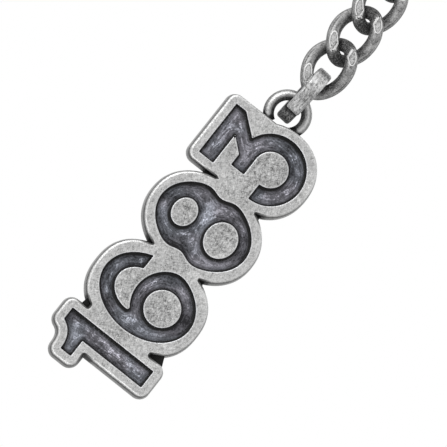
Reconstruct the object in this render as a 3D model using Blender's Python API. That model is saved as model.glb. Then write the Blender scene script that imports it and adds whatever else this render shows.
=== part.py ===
"""Metal keyring: a cast fob of four plain figures, a jump ring, a twisted curb chain and a split ring.

The keyring hangs. The origin is the point inside the top of the split ring where a hook holds it,
+Z is up, and -Y is the side that the figures face. Lengths are in metres, angles in degrees.
"""
import math

import bmesh
import bpy
from mathutils import Matrix, Vector

# Clearances
TOUCH_GAP = 0.00030
RING_CLEARANCE = 0.00035
CUT_OVERRUN = 0.00100

# Split ring: two turns of flat strip, with the step from one turn to the other
SPLIT_RING_DIAMETER = 0.03000
SPLIT_RING_WIDTH = 0.00200
SPLIT_RING_STRIP = 0.00090
SPLIT_RING_TURN_GAP = 0.00042
SPLIT_RING_EDGE = 0.00022
SPLIT_RING_PLANE_ANGLE = 45.0
SPLIT_RING_STEP_ANGLE = 56.0
SPLIT_RING_STEP_HALF_ANGLE = 13.0
SPLIT_RING_STEPS_PER_TURN = 48

# Curb chain
LINK_COUNT = 5
LINK_WIRE = 0.00200
LINK_INNER_LENGTH = 0.00660
LINK_INNER_WIDTH = 0.00380
LINK_TWIST_ANGLE = 45.0
LINK_FULLNESS = 2.3
LINK_FLAT_DEPTH = 0.00017
LINK_SEAT_GAP = 0.00078
LINK_POINTS = 40

# Jump ring: a flat band, closed with its ends a little out of line
JUMP_RING_BAND = 0.00210
JUMP_RING_WALL = 0.00115
JUMP_RING_EDGE = 0.00018
JUMP_RING_SLACK = 0.00155
JUMP_RING_BUTT_GAP = 0.00045
JUMP_RING_OUT_OF_LINE = 0.00012
JUMP_RING_BUTT_ANGLE = 28.0
JUMP_RING_LEAN_ANGLE = 4.5
JUMP_RING_OFFSET = 0.00024
JUMP_RING_STEPS = 48

# Eye of the fob
EYE_WIRE = 0.00150
EYE_HOLE = 0.00435
EYE_OFFSET = 0.00052
EYE_STAND = 0.00160
EYE_SEGMENTS = 48
EYE_SIDES = 12

# Fob casting
FOB_THICKNESS = 0.00300
FOB_BORDER = 0.00142
FOB_DRAFT = 0.00028
FOB_EDGE = 0.00026
FIGURE_DEPTH = 0.00090
FIGURE_GAP = 0.00162
FIGURE_STROKE = 0.00270
CAP_LINE = 0.00780
BASE_LINE = 0.00750

# First figure, a one
ONE_STEM = 0.00300
ONE_TOP = 0.00210
ONE_FLAG_REACH = 0.00285
ONE_FLAG_HEIGHT = 0.00190
ONE_FLAG_DROP = 0.00420
ONE_GAP = 0.00220
ONE_WEB_HALF = 0.00585

# Round figures, a six and an eight
ROUND_WIDTH = 0.01185
ROUND_HEIGHT = 0.01580
SIX_COUNTER = 0.00285
SIX_COUNTER_DROP = 0.00278
SIX_BOWL = 0.00532
SIX_BOWL_DROP = 0.00300
SIX_BOWL_SHIFT = 0.00045
SIX_TAIL_HALF_WIDTH = 0.00330
SIX_TAIL_HALF_HEIGHT = 0.00405
SIX_TAIL_RISE = 0.00150
SIX_TERMINAL_RISE = 0.00315
EIGHT_UPPER_HALF_WIDTH = 0.00225
EIGHT_UPPER_HALF_HEIGHT = 0.00195
EIGHT_UPPER_RISE = 0.00360
EIGHT_LOWER_HALF_WIDTH = 0.00285
EIGHT_LOWER_HALF_HEIGHT = 0.00255
EIGHT_LOWER_DROP = 0.00330
EIGHT_WAIST_RISE = 0.00045
EIGHT_WAIST_DEPTH = 0.00105
EIGHT_WAIST_HALF_HEIGHT = 0.00110

# Last figure, a flat-topped three
THREE_BOWL = 0.00545
THREE_BOWL_DROP = 0.00262
THREE_BAR_LEFT = 0.00500
THREE_BAR_RIGHT = 0.00465
THREE_BAR_HEIGHT = 0.00270
THREE_CORNER_DROP = 0.00180
THREE_SHOULDER = 0.00200
THREE_NECK_RIGHT = 0.00085
THREE_NECK_LEFT = 0.00110
THREE_ARM_REACH = 0.00305
THREE_ARM_HEIGHT = 0.00240
THREE_TOP_INSET = 0.00030

ARC_STEP_ANGLE = 7.5


def remove_everything():
    """Clear the scene so that the file holds only the keyring."""
    for item in list(bpy.data.objects):
        bpy.data.objects.remove(item, do_unlink=True)
    for group in list(bpy.data.collections):
        bpy.data.collections.remove(group)


def new_collection(name):
    """Collection linked to the scene."""
    group = bpy.data.collections.new(name)
    bpy.context.scene.collection.children.link(group)
    return group


def new_material(name, colour, roughness, metallic=1.0):
    """Principled metal."""
    material = bpy.data.materials.new(name)
    material.use_nodes = True
    shader = material.node_tree.nodes["Principled BSDF"]
    shader.inputs["Base Color"].default_value = (*colour, 1.0)
    shader.inputs["Roughness"].default_value = roughness
    shader.inputs["Metallic"].default_value = metallic
    material.diffuse_color = (*colour, 1.0)
    return material


def arc(centre, half_width, half_height, start, end):
    """Points on an ellipse in (along, across), turning from start to end degrees.

    Zero degrees points along the fob, ninety degrees across it towards the base line.
    """
    count = max(2, int(round(abs(end - start) / ARC_STEP_ANGLE)))
    points = []
    for index in range(count + 1):
        turn = math.radians(start + (end - start) * index / count)
        points.append((centre[0] + half_width * math.cos(turn), centre[1] + half_height * math.sin(turn)))
    return points


def shifted(points, along):
    """The same outline, moved along the fob."""
    return [(a + along, b) for a, b in points]


def signed_area(points):
    """Twice the enclosed area, positive where the outline turns from along to across."""
    total = 0.0
    for (a0, b0), (a1, b1) in zip(points, points[1:] + points[:1]):
        total += a0 * b1 - a1 * b0
    return total


def grown(points, distance):
    """Outline moved outwards by a distance, with its outer corners rounded."""
    ring = list(points) if signed_area(points) > 0.0 else list(reversed(points))
    result = []
    count = len(ring)
    for index in range(count):
        before, here, after = (Vector(ring[(index + step) % count]) for step in (-1, 0, 1))
        into, out = (here - before).normalized(), (after - here).normalized()
        first, second = Vector((into.y, -into.x)), Vector((out.y, -out.x))
        turn = math.degrees(math.atan2(into.cross(out), into.dot(out)))
        if turn > 2.0 * ARC_STEP_ANGLE:
            steps = max(1, int(round(turn / (2.0 * ARC_STEP_ANGLE))))
            for step in range(steps + 1):
                spoke = Matrix.Rotation(math.radians(turn * step / steps), 2) @ first
                result.append(tuple(here + spoke * distance))
        else:
            middle = (first + second).normalized()
            result.append(tuple(here + middle * (distance / max(middle.dot(first), 0.5))))
    return result


def one_outline():
    """Recess of the one: a stem with a flag, its centre line at zero."""
    half = ONE_STEM / 2.0
    top, base = -CAP_LINE, BASE_LINE
    flag_base = top + ONE_FLAG_DROP
    flag_top = flag_base - ONE_FLAG_HEIGHT
    curve_start = Vector((half - ONE_TOP, top))
    curve_end = Vector((-half - ONE_FLAG_REACH, flag_top))
    bend = Vector((-half, flag_top))
    sweep = []
    for index in range(1, 7):
        share = index / 6.0
        sweep.append(tuple(curve_start * (1.0 - share) ** 2 + bend * 2.0 * share * (1.0 - share)
                           + curve_end * share ** 2))
    return [(half, base), (-half, base), (-half, flag_base), (-half - ONE_FLAG_REACH, flag_base),
            *reversed(sweep), tuple(curve_start), (half, top)]


def crossing(first, second, start, end):
    """Angle on the first ellipse where it crosses the second, found by halving.

    Each ellipse is (centre, half_width, half_height).
    """
    def outside(turn):
        (a, b), = arc_point(first, turn)
        centre, half_width, half_height = second
        return ((a - centre[0]) / half_width) ** 2 + ((b - centre[1]) / half_height) ** 2 > 1.0

    def arc_point(ellipse, turn):
        centre, half_width, half_height = ellipse
        angle = math.radians(turn)
        return [(centre[0] + half_width * math.cos(angle), centre[1] + half_height * math.sin(angle))]

    start_side = outside(start)
    for _ in range(40):
        middle = (start + end) / 2.0
        if outside(middle) == start_side:
            start = middle
        else:
            end = middle
    return (start + end) / 2.0


def six_outline():
    """Recess of the six: tail, spine and bowl in one stroke, and the round counter inside the bowl."""
    whole = ((0.0, 0.0), ROUND_WIDTH / 2.0, ROUND_HEIGHT / 2.0)
    bowl = ((SIX_BOWL_SHIFT, SIX_BOWL_DROP), SIX_BOWL, SIX_BOWL)
    tail = ((0.0, -SIX_TAIL_RISE), SIX_TAIL_HALF_WIDTH, SIX_TAIL_HALF_HEIGHT)
    terminal_turn = math.degrees(math.asin(SIX_TERMINAL_RISE / (ROUND_HEIGHT / 2.0)))
    tail_turn = math.degrees(math.asin((SIX_TERMINAL_RISE - SIX_TAIL_RISE) / SIX_TAIL_HALF_HEIGHT))
    bowl_meets_whole = crossing(bowl, whole, -60.0, 10.0)
    bowl_edge = arc(*bowl, bowl_meets_whole, -170.0)
    joint = Vector(bowl_edge[0])
    whole_turn = math.degrees(math.atan2(joint.y / whole[2], joint.x / whole[1]))
    bowl_meets_tail = crossing(bowl, tail, -90.0, -179.0)
    spine_joint = Vector(arc(*bowl, bowl_meets_tail, bowl_meets_tail + 1.0)[0])
    tail_start = math.degrees(math.atan2((spine_joint.y + SIX_TAIL_RISE) / tail[2], spine_joint.x / tail[1]))
    outline = arc(*whole, -terminal_turn, -360.0 + whole_turn)
    outline += arc(*bowl, bowl_meets_whole, bowl_meets_tail)[1:]
    outline += arc(*tail, tail_start % 360.0, 360.0 - tail_turn)[1:]
    counter = arc((0.0, SIX_COUNTER_DROP), SIX_COUNTER, SIX_COUNTER, 0.0, 360.0 - 2.0 * ARC_STEP_ANGLE)
    return outline, [counter]


def eight_outline():
    """Recess of the eight: an oval drawn in at the waist, and its two counters."""
    outline = []
    for along, across in arc((0.0, 0.0), ROUND_WIDTH / 2.0, ROUND_HEIGHT / 2.0, 0.0, 360.0 - ARC_STEP_ANGLE):
        reach = (across + EIGHT_WAIST_RISE) / EIGHT_WAIST_HALF_HEIGHT
        drawn_in = EIGHT_WAIST_DEPTH * math.exp(-reach * reach)
        outline.append((along - math.copysign(drawn_in, along), across))
    upper = arc((0.0, -EIGHT_UPPER_RISE), EIGHT_UPPER_HALF_WIDTH, EIGHT_UPPER_HALF_HEIGHT,
                0.0, 360.0 - 2.0 * ARC_STEP_ANGLE)
    lower = arc((0.0, EIGHT_LOWER_DROP), EIGHT_LOWER_HALF_WIDTH, EIGHT_LOWER_HALF_HEIGHT,
                0.0, 360.0 - 2.0 * ARC_STEP_ANGLE)
    return outline, [upper, lower]


def three_outline():
    """Recess of the three: flat bar, neck, middle arm and open bowl, the bowl's centre at zero."""
    top = -CAP_LINE + THREE_TOP_INSET
    bar_base = top + THREE_BAR_HEIGHT
    drop = THREE_BOWL_DROP
    inner = THREE_BOWL - FIGURE_STROKE
    shoulder_turn = -math.degrees(math.acos(THREE_SHOULDER / THREE_BOWL))
    arm_base = drop - inner
    arm_top = arm_base - THREE_ARM_HEIGHT
    outline = [(-THREE_BAR_LEFT, top), (THREE_BAR_RIGHT, top), (THREE_BAR_RIGHT, top + THREE_CORNER_DROP)]
    outline += arc((0.0, drop), THREE_BOWL, THREE_BOWL, shoulder_turn, 180.0)
    outline += arc((0.0, drop), inner, inner, 180.0, -90.0)
    outline += [(-THREE_ARM_REACH, arm_base), (-THREE_ARM_REACH, arm_top), (-THREE_NECK_LEFT, arm_top),
                (THREE_NECK_RIGHT, bar_base), (-THREE_BAR_LEFT, bar_base)]
    return outline


def three_plates():
    """Plates behind the three: one behind its bar and neck, one behind its bowl."""
    top = -CAP_LINE + THREE_TOP_INSET
    bar = [(-THREE_BAR_LEFT, top), (THREE_BAR_RIGHT, top), (THREE_BAR_RIGHT, 0.0), (-THREE_BAR_LEFT, 0.0)]
    bowl = arc((0.0, THREE_BOWL_DROP), THREE_BOWL, THREE_BOWL, 0.0, 360.0 - ARC_STEP_ANGLE)
    return [bar, bowl]


def mesh_object(name, build, group, material=None):
    """Object from a bmesh that a function fills."""
    bm = bmesh.new()
    build(bm)
    bmesh.ops.recalc_face_normals(bm, faces=bm.faces)
    mesh = bpy.data.meshes.new(name)
    bm.to_mesh(mesh)
    bm.free()
    item = bpy.data.objects.new(name, mesh)
    group.objects.link(item)
    if material:
        mesh.materials.append(material)
    return item


def as_mesh(item, group, material):
    """Mesh object with the evaluated shape of a curve or of an object with modifiers, which it replaces."""
    bpy.context.view_layer.update()
    shape = bpy.data.meshes.new_from_object(item.evaluated_get(bpy.context.evaluated_depsgraph_get()))
    bm = bmesh.new()
    bm.from_mesh(shape)
    bmesh.ops.remove_doubles(bm, verts=bm.verts, dist=TOUCH_GAP / 100.0)
    bmesh.ops.recalc_face_normals(bm, faces=bm.faces)
    bm.to_mesh(shape)
    bm.free()
    name, placing = item.name, item.matrix_world.copy()
    bpy.data.objects.remove(item, do_unlink=True)
    result = bpy.data.objects.new(name, shape)
    result.matrix_world = placing
    group.objects.link(result)
    shape.materials.clear()
    shape.materials.append(material)
    return result


def prism(outline, holes, near, far, name, group, material):
    """Straight plate with holes, made from a flat curve: outline points are (along, across)."""
    curve = bpy.data.curves.new(name, "CURVE")
    curve.dimensions = "2D"
    curve.fill_mode = "BOTH"
    curve.extrude = (far - near) / 2.0
    for ring in [outline, *holes]:
        spline = curve.splines.new("POLY")
        spline.points.add(len(ring) - 1)
        for point, (along, across) in zip(spline.points, ring):
            point.co = (across, along, 0.0, 1.0)
        spline.use_cyclic_u = True
    item = bpy.data.objects.new(name, curve)
    item.matrix_world = Matrix.Translation((0.0, (near + far) / 2.0, 0.0)) @ Matrix.Rotation(math.pi / 2.0, 4, "X")
    group.objects.link(item)
    return as_mesh(item, group, material)


def drafted_plate(bm, outline, thickness):
    """Plate whose back is wider than its face by the draft."""
    rings = []
    for depth, spread in ((-thickness / 2.0, 0.0), (thickness / 2.0, FOB_DRAFT)):
        shape = spread_outline(outline, spread)
        rings.append([bm.verts.new((across, depth, along)) for along, across in shape])
    bm.faces.new(rings[0])
    bm.faces.new(rings[1])
    edges = []
    for ring in rings:
        edges += [bm.edges.get((ring[index - 1], ring[index])) for index in range(len(ring))]
    bmesh.ops.bridge_loops(bm, edges=edges)


def spread_outline(outline, distance):
    """Outline moved outwards point by point, so that it keeps its number of points."""
    if distance == 0.0:
        return list(outline)
    sign = 1.0 if signed_area(outline) > 0.0 else -1.0
    result = []
    count = len(outline)
    for index in range(count):
        before, here, after = (Vector(outline[(index + step) % count]) for step in (-1, 0, 1))
        into, out = (here - before).normalized(), (after - here).normalized()
        first = Vector((into.y, -into.x)) * sign
        middle = (first + Vector((out.y, -out.x)) * sign).normalized()
        result.append(tuple(here + middle * (distance / max(middle.dot(first), 0.5))))
    return result


def cut_or_join(item, other, operation):
    """Boolean with Blender's default solver, the other shape kept out of the model."""
    modifier = item.modifiers.new(operation.title(), "BOOLEAN")
    modifier.operation = operation
    modifier.solver = "EXACT"
    modifier.object = other
    other.hide_render = True
    other.display_type = "WIRE"


def smooth(item, angle=35.0):
    """Smooth shading with sharp edges where faces turn by more than an angle."""
    item.data.shade_smooth()
    item.data.set_sharp_from_angle(angle=math.radians(angle))


def rounded_perimeter(item, width):
    """Round the edges where the flat face and the flat back meet the walls."""
    bm = bmesh.new()
    bm.from_mesh(item.data)
    bmesh.ops.dissolve_limit(bm, angle_limit=math.radians(0.5), verts=bm.verts, edges=bm.edges)
    rim = [edge for edge in bm.edges if len(edge.link_faces) == 2
           and sum(abs(face.normal.y) > 0.99 for face in edge.link_faces) == 1]
    bmesh.ops.bevel(bm, geom=rim, offset=width, offset_type="OFFSET", segments=2, profile=0.5,
                    affect="EDGES", clamp_overlap=True, material=-1)
    bm.to_mesh(item.data)
    bm.free()


def build_fob(group, cutters, material, places):
    """Cast fob: drafted plates joined, edges rounded, an eye added and four figures sunk into the face."""
    six, six_counters = six_outline()
    eight, eight_counters = eight_outline()
    figures = [(one_outline(), [], places["one"]), (six, six_counters, places["six"]),
               (eight, eight_counters, places["eight"]), (three_outline(), [], places["three"])]
    oval = arc((0.0, 0.0), ROUND_WIDTH / 2.0, ROUND_HEIGHT / 2.0, 0.0, 360.0 - ARC_STEP_ANGLE)
    web_half = (places["six"] - places["one"]) / 2.0
    web = [(-web_half, -ONE_WEB_HALF), (web_half, -ONE_WEB_HALF), (web_half, ONE_WEB_HALF), (-web_half, ONE_WEB_HALF)]
    outlines = [shifted(grown(one_outline(), FOB_BORDER), places["one"]),
                shifted(web, places["one"] + web_half),
                shifted(grown(oval, FOB_BORDER), places["six"]),
                shifted(grown(oval, FOB_BORDER), places["eight"])]
    outlines += [shifted(grown(shape, FOB_BORDER), places["three"]) for shape in three_plates()]
    plates = []
    for index, outline in enumerate(outlines):
        plates.append(mesh_object(f"plate_{index + 1}", lambda bm, ring=outline: drafted_plate(bm, ring, FOB_THICKNESS),
                                  cutters, material))
    for plate in plates[1:]:
        cut_or_join(plates[0], plate, "UNION")
    fob = as_mesh(plates[0], group, material)
    fob.name = "fob"
    fob.data.name = "fob"
    rounded_perimeter(fob, FOB_EDGE)

    bpy.ops.mesh.primitive_torus_add(
        location=(-EYE_OFFSET, 0.0, places["eye"]), rotation=(math.pi / 2.0, 0.0, 0.0),
        major_radius=(EYE_HOLE + EYE_WIRE) / 2.0, minor_radius=EYE_WIRE / 2.0,
        major_segments=EYE_SEGMENTS, minor_segments=EYE_SIDES)
    eye = bpy.context.object
    eye.name = "eye"
    for owner in list(eye.users_collection):
        owner.objects.unlink(eye)
    cutters.objects.link(eye)
    cut_or_join(fob, eye, "UNION")

    face = -FOB_THICKNESS / 2.0
    for index, (outline, counters, along) in enumerate(figures):
        cutter = prism(shifted(outline, along), [shifted(counter, along) for counter in counters],
                       face - CUT_OVERRUN, face + FIGURE_DEPTH, f"figure_{index + 1}", cutters, material)
        cut_or_join(fob, cutter, "DIFFERENCE")
    fob = as_mesh(fob, group, material)
    smooth(fob)
    hang_on_axis(fob, (-EYE_OFFSET, 0.0, places["eye"]), group)
    return fob


def hang_on_axis(item, point, group):
    """Empty on a moving piece's joint axis, with the piece parented to it."""
    pivot = bpy.data.objects.new(f"{item.name}_axis", None)
    pivot.empty_display_size = LINK_WIRE
    pivot.location = point
    group.objects.link(pivot)
    bpy.context.view_layer.update()
    item.parent = pivot
    item.matrix_parent_inverse = pivot.matrix_world.inverted()


def link_centreline():
    """Points round a curb link, its ends turned against each other by twice the twist angle."""
    half_length = (LINK_INNER_LENGTH + LINK_WIRE) / 2.0
    half_width = (LINK_INNER_WIDTH + LINK_WIRE) / 2.0
    power = 2.0 / LINK_FULLNESS
    points = []
    for index in range(LINK_POINTS):
        turn = 2.0 * math.pi * (index + 0.5) / LINK_POINTS
        cosine, sine = math.cos(turn), math.sin(turn)
        share = math.copysign(abs(cosine) ** power, cosine)
        across = half_width * math.copysign(abs(sine) ** power, sine)
        twist = -math.radians(LINK_TWIST_ANGLE) * share
        points.append((across * math.cos(twist), across * math.sin(twist), half_length * share))
    return points


def build_link(name, height, group, material):
    """One curb link: twisted round wire with a flat ground on each side."""
    curve = bpy.data.curves.new(name, "CURVE")
    curve.dimensions = "3D"
    curve.bevel_depth = LINK_WIRE / 2.0
    curve.bevel_resolution = 2
    curve.use_fill_caps = True
    spline = curve.splines.new("POLY")
    points = link_centreline()
    spline.points.add(len(points) - 1)
    for point, place in zip(spline.points, points):
        point.co = (*place, 1.0)
    spline.use_cyclic_u = True
    item = bpy.data.objects.new(name, curve)
    item.location = (0.0, 0.0, height)
    group.objects.link(item)
    link = as_mesh(item, group, material)
    bm = bmesh.new()
    bm.from_mesh(link.data)
    for side in (-1.0, 1.0):
        reach = max(vert.co.y * side for vert in bm.verts)
        bmesh.ops.bisect_plane(bm, geom=bm.verts[:] + bm.edges[:] + bm.faces[:],
                               plane_co=(0.0, side * (reach - LINK_FLAT_DEPTH), 0.0), plane_no=(0.0, side, 0.0),
                               clear_outer=True, dist=TOUCH_GAP / 1000.0)
        bmesh.ops.holes_fill(bm, edges=[edge for edge in bm.edges if edge.is_boundary])
    bmesh.ops.recalc_face_normals(bm, faces=bm.faces)
    bm.to_mesh(link.data)
    bm.free()
    smooth(link, 30.0)
    return link


def strip_section(name, width, height, edge, group):
    """Rounded rectangular section of a strip, as a flat curve."""
    curve = bpy.data.curves.new(name, "CURVE")
    curve.dimensions = "2D"
    curve.fill_mode = "NONE"
    half_width, half_height = width / 2.0, height / 2.0
    corners = ((half_width, half_height, 0.0), (-half_width, half_height, 90.0),
               (-half_width, -half_height, 180.0), (half_width, -half_height, 270.0))
    spline = curve.splines.new("POLY")
    ring = []
    for x, y, start in corners:
        centre_x = x - math.copysign(edge, x)
        centre_y = y - math.copysign(edge, y)
        for turn in (0.0, 45.0, 90.0):
            angle = math.radians(start + turn)
            ring.append((centre_x + edge * math.cos(angle), centre_y + edge * math.sin(angle)))
    spline.points.add(len(ring) - 1)
    for point, (x, y) in zip(spline.points, ring):
        point.co = (x, y, 0.0, 1.0)
    spline.use_cyclic_u = True
    section = bpy.data.objects.new(name, curve)
    section.hide_render = True
    section.display_type = "WIRE"
    group.objects.link(section)
    return section


def build_strip(name, path, section, placing, group, material):
    """Strip swept along a path that lies round the local Z axis."""
    curve = bpy.data.curves.new(name, "CURVE")
    curve.dimensions = "3D"
    curve.twist_mode = "Z_UP"
    curve.bevel_mode = "OBJECT"
    curve.bevel_object = section
    curve.use_fill_caps = True
    spline = curve.splines.new("POLY")
    spline.points.add(len(path) - 1)
    for point, place in zip(spline.points, path):
        point.co = (*place, 1.0)
    item = bpy.data.objects.new(name, curve)
    item.matrix_world = placing
    group.objects.link(item)
    strip = as_mesh(item, group, material)
    smooth(strip, 50.0)
    return strip


def eased(share):
    """Smooth step from zero to one."""
    share = min(1.0, max(0.0, share))
    return share * share * (3.0 - 2.0 * share)


def split_ring_path():
    """Two turns round the ring, stepping from the lower to the upper layer half way."""
    radius = (SPLIT_RING_DIAMETER - SPLIT_RING_WIDTH) / 2.0
    layer = SPLIT_RING_STRIP + SPLIT_RING_TURN_GAP
    step_half = SPLIT_RING_STEP_HALF_ANGLE
    start, end = step_half, 720.0 - step_half
    count = 2 * SPLIT_RING_STEPS_PER_TURN
    points = []
    for index in range(count + 1):
        turn = start + (end - start) * index / count
        rise = layer * (eased((turn - 360.0 + step_half) / (2.0 * step_half)) - 0.5)
        angle = math.radians(turn + SPLIT_RING_STEP_ANGLE)
        points.append((radius * math.cos(angle), radius * math.sin(angle), rise))
    return points


def split_ring_gap(path):
    """Least gap between the two turns, measured on the path's points."""
    per_turn = SPLIT_RING_STEPS_PER_TURN // 2
    least = math.inf
    for index, first in enumerate(path):
        for second in path[index + per_turn:]:
            flat = math.hypot(first[0] - second[0], first[1] - second[1])
            if flat < SPLIT_RING_WIDTH:
                least = min(least, math.hypot(flat, first[2] - second[2]) - SPLIT_RING_STRIP)
    return least


def jump_ring_path(radius):
    """One turn round the jump ring from one cut end to the other, drifting out of line."""
    gap_angle = math.degrees(JUMP_RING_BUTT_GAP / radius)
    points = []
    for index in range(JUMP_RING_STEPS + 1):
        share = index / JUMP_RING_STEPS
        angle = math.radians(gap_angle / 2.0 + (360.0 - gap_angle) * share)
        drift = JUMP_RING_OUT_OF_LINE * (share - 0.5)
        points.append(((radius + drift) * math.cos(angle), (radius + drift) * math.sin(angle), drift))
    return points


def fob_places(eye_height):
    """Height of each figure, worked out downwards from the eye."""
    bowl = THREE_BOWL + FOB_BORDER + FOB_DRAFT
    ring_edge = JUMP_RING_BAND / 2.0 - EYE_OFFSET
    wall_at_ring = math.sqrt(bowl ** 2 - (THREE_BOWL_DROP - ring_edge) ** 2)
    three = eye_height - EYE_STAND - wall_at_ring
    eight = three - THREE_BOWL - FIGURE_GAP - ROUND_WIDTH / 2.0
    six = eight - ROUND_WIDTH - FIGURE_GAP
    one = six - ROUND_WIDTH / 2.0 - ONE_GAP - ONE_STEM / 2.0
    return {"eye": eye_height, "three": three, "eight": eight, "six": six, "one": one}


def main():
    """Build the keyring from the hook downwards."""
    remove_everything()
    keyring = new_collection("metal_keyring")
    cutters = new_collection("cutters")
    pewter = new_material("antique_pewter", (0.47, 0.46, 0.45), 0.42)
    chain_steel = new_material("antique_chain", (0.40, 0.40, 0.40), 0.38)
    ring_steel = new_material("brushed_ring", (0.50, 0.50, 0.50), 0.33)
    spring_steel = new_material("bright_split_ring", (0.62, 0.62, 0.62), 0.26)

    ring_inner = SPLIT_RING_DIAMETER / 2.0 - SPLIT_RING_WIDTH
    ring_section = strip_section("split_ring_section", SPLIT_RING_WIDTH, SPLIT_RING_STRIP, SPLIT_RING_EDGE, cutters)
    ring_path = split_ring_path()
    placing = (Matrix.Translation((0.0, 0.0, -ring_inner))
               @ Matrix.Rotation(math.radians(SPLIT_RING_PLANE_ANGLE), 4, "Z")
               @ Matrix.Rotation(math.pi / 2.0, 4, "X"))
    build_strip("split_ring", ring_path, ring_section, placing, keyring, spring_steel)
    print(f"split ring: least gap between its turns {split_ring_gap(ring_path) * 1000.0:.3f} mm")

    link_length = LINK_INNER_LENGTH + 2.0 * LINK_WIRE
    pitch = LINK_INNER_LENGTH - TOUCH_GAP
    height = -2.0 * ring_inner + LINK_SEAT_GAP + LINK_WIRE - link_length / 2.0
    for number in range(1, LINK_COUNT + 1):
        build_link(f"chain_link_{number}", height, keyring, chain_steel)
        lowest = height - link_length / 2.0
        height -= pitch

    eye_height = lowest - TOUCH_GAP - EYE_WIRE - EYE_HOLE / 2.0
    ring_bottom = eye_height - EYE_STAND + RING_CLEARANCE
    ring_top = lowest + LINK_WIRE + JUMP_RING_SLACK + JUMP_RING_WALL
    ring_centre = (ring_bottom + ring_top) / 2.0
    radius = (ring_top - ring_bottom - JUMP_RING_WALL) / 2.0
    band_section = strip_section("jump_ring_section", JUMP_RING_WALL, JUMP_RING_BAND, JUMP_RING_EDGE, cutters)
    placing = (Matrix.Translation((-JUMP_RING_OFFSET, 0.0, ring_centre))
               @ Matrix.Rotation(math.radians(JUMP_RING_LEAN_ANGLE), 4, "Y")
               @ Matrix.Rotation(math.radians(JUMP_RING_BUTT_ANGLE), 4, "X")
               @ Matrix(((0, 0, 1, 0), (-1, 0, 0, 0), (0, -1, 0, 0), (0, 0, 0, 1))))
    build_strip("jump_ring", jump_ring_path(radius), band_section, placing, keyring, ring_steel)

    places = fob_places(eye_height)
    build_fob(keyring, cutters, pewter, places)
    bpy.context.view_layer.update()
    for name, place in {**places, "jump_ring": ring_centre, "lowest_link_end": lowest}.items():
        print(f"{name}: height {place * 1000.0:.3f} mm")


if __name__ == "__main__":
    main()
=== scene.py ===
"""Looks of a metal keyring: a tumbled pewter fob, a jump ring, a twisted curb chain and a split ring.

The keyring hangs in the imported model's frame, in metres, with +Z up and the figures facing -Y.
Along the fob means +Z, the way the figures read, and across it means +X, towards their feet.
"""
from __future__ import annotations

import logging
import math
from dataclasses import dataclass, field
from enum import Enum
from typing import Any, Callable, ClassVar, Iterable, Sequence, Union

import bmesh
import bpy
from mathutils import Matrix, Vector
from mathutils.kdtree import KDTree

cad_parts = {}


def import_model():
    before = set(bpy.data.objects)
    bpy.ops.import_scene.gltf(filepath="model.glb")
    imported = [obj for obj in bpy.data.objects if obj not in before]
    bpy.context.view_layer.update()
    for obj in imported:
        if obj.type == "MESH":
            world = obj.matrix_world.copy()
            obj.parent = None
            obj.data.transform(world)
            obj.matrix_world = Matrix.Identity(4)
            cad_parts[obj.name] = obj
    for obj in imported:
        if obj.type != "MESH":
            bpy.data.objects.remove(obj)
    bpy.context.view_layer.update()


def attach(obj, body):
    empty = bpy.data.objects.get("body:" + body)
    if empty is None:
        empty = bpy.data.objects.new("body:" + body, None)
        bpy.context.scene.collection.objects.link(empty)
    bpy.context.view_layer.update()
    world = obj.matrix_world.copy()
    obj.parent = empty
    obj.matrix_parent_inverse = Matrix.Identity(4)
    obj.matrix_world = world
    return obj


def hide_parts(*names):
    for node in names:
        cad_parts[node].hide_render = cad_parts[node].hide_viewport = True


LOG = logging.getLogger("keyring")
MM = 0.001

Mesh = bmesh.types.BMesh
Vert = bmesh.types.BMVert
Edge = bmesh.types.BMEdge
Face = bmesh.types.BMFace
Marks = dict[str, bmesh.types.BMLayerItem]
Point = tuple[float, float]
Outline = list[Point]
# Centre, and half of its size along and across the fob
Ellipse = tuple[Point, float, float]
# Offset, depth and marks of one ring of a moulding
Ring = tuple[float, float, dict[str, float]]
# Centre and two axes of a section
Station = tuple[Vector, Vector, Vector]
# Corner, direction out of it, half of its angle in degrees and reach of its web
Notch = tuple[Vector, Vector, float, float]
Number = Union[float, "Wire"]


class Side(Enum):
    """Which way a moulding's metal lies from its outline."""

    INSIDE = 1.0
    OUTSIDE = -1.0


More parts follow.
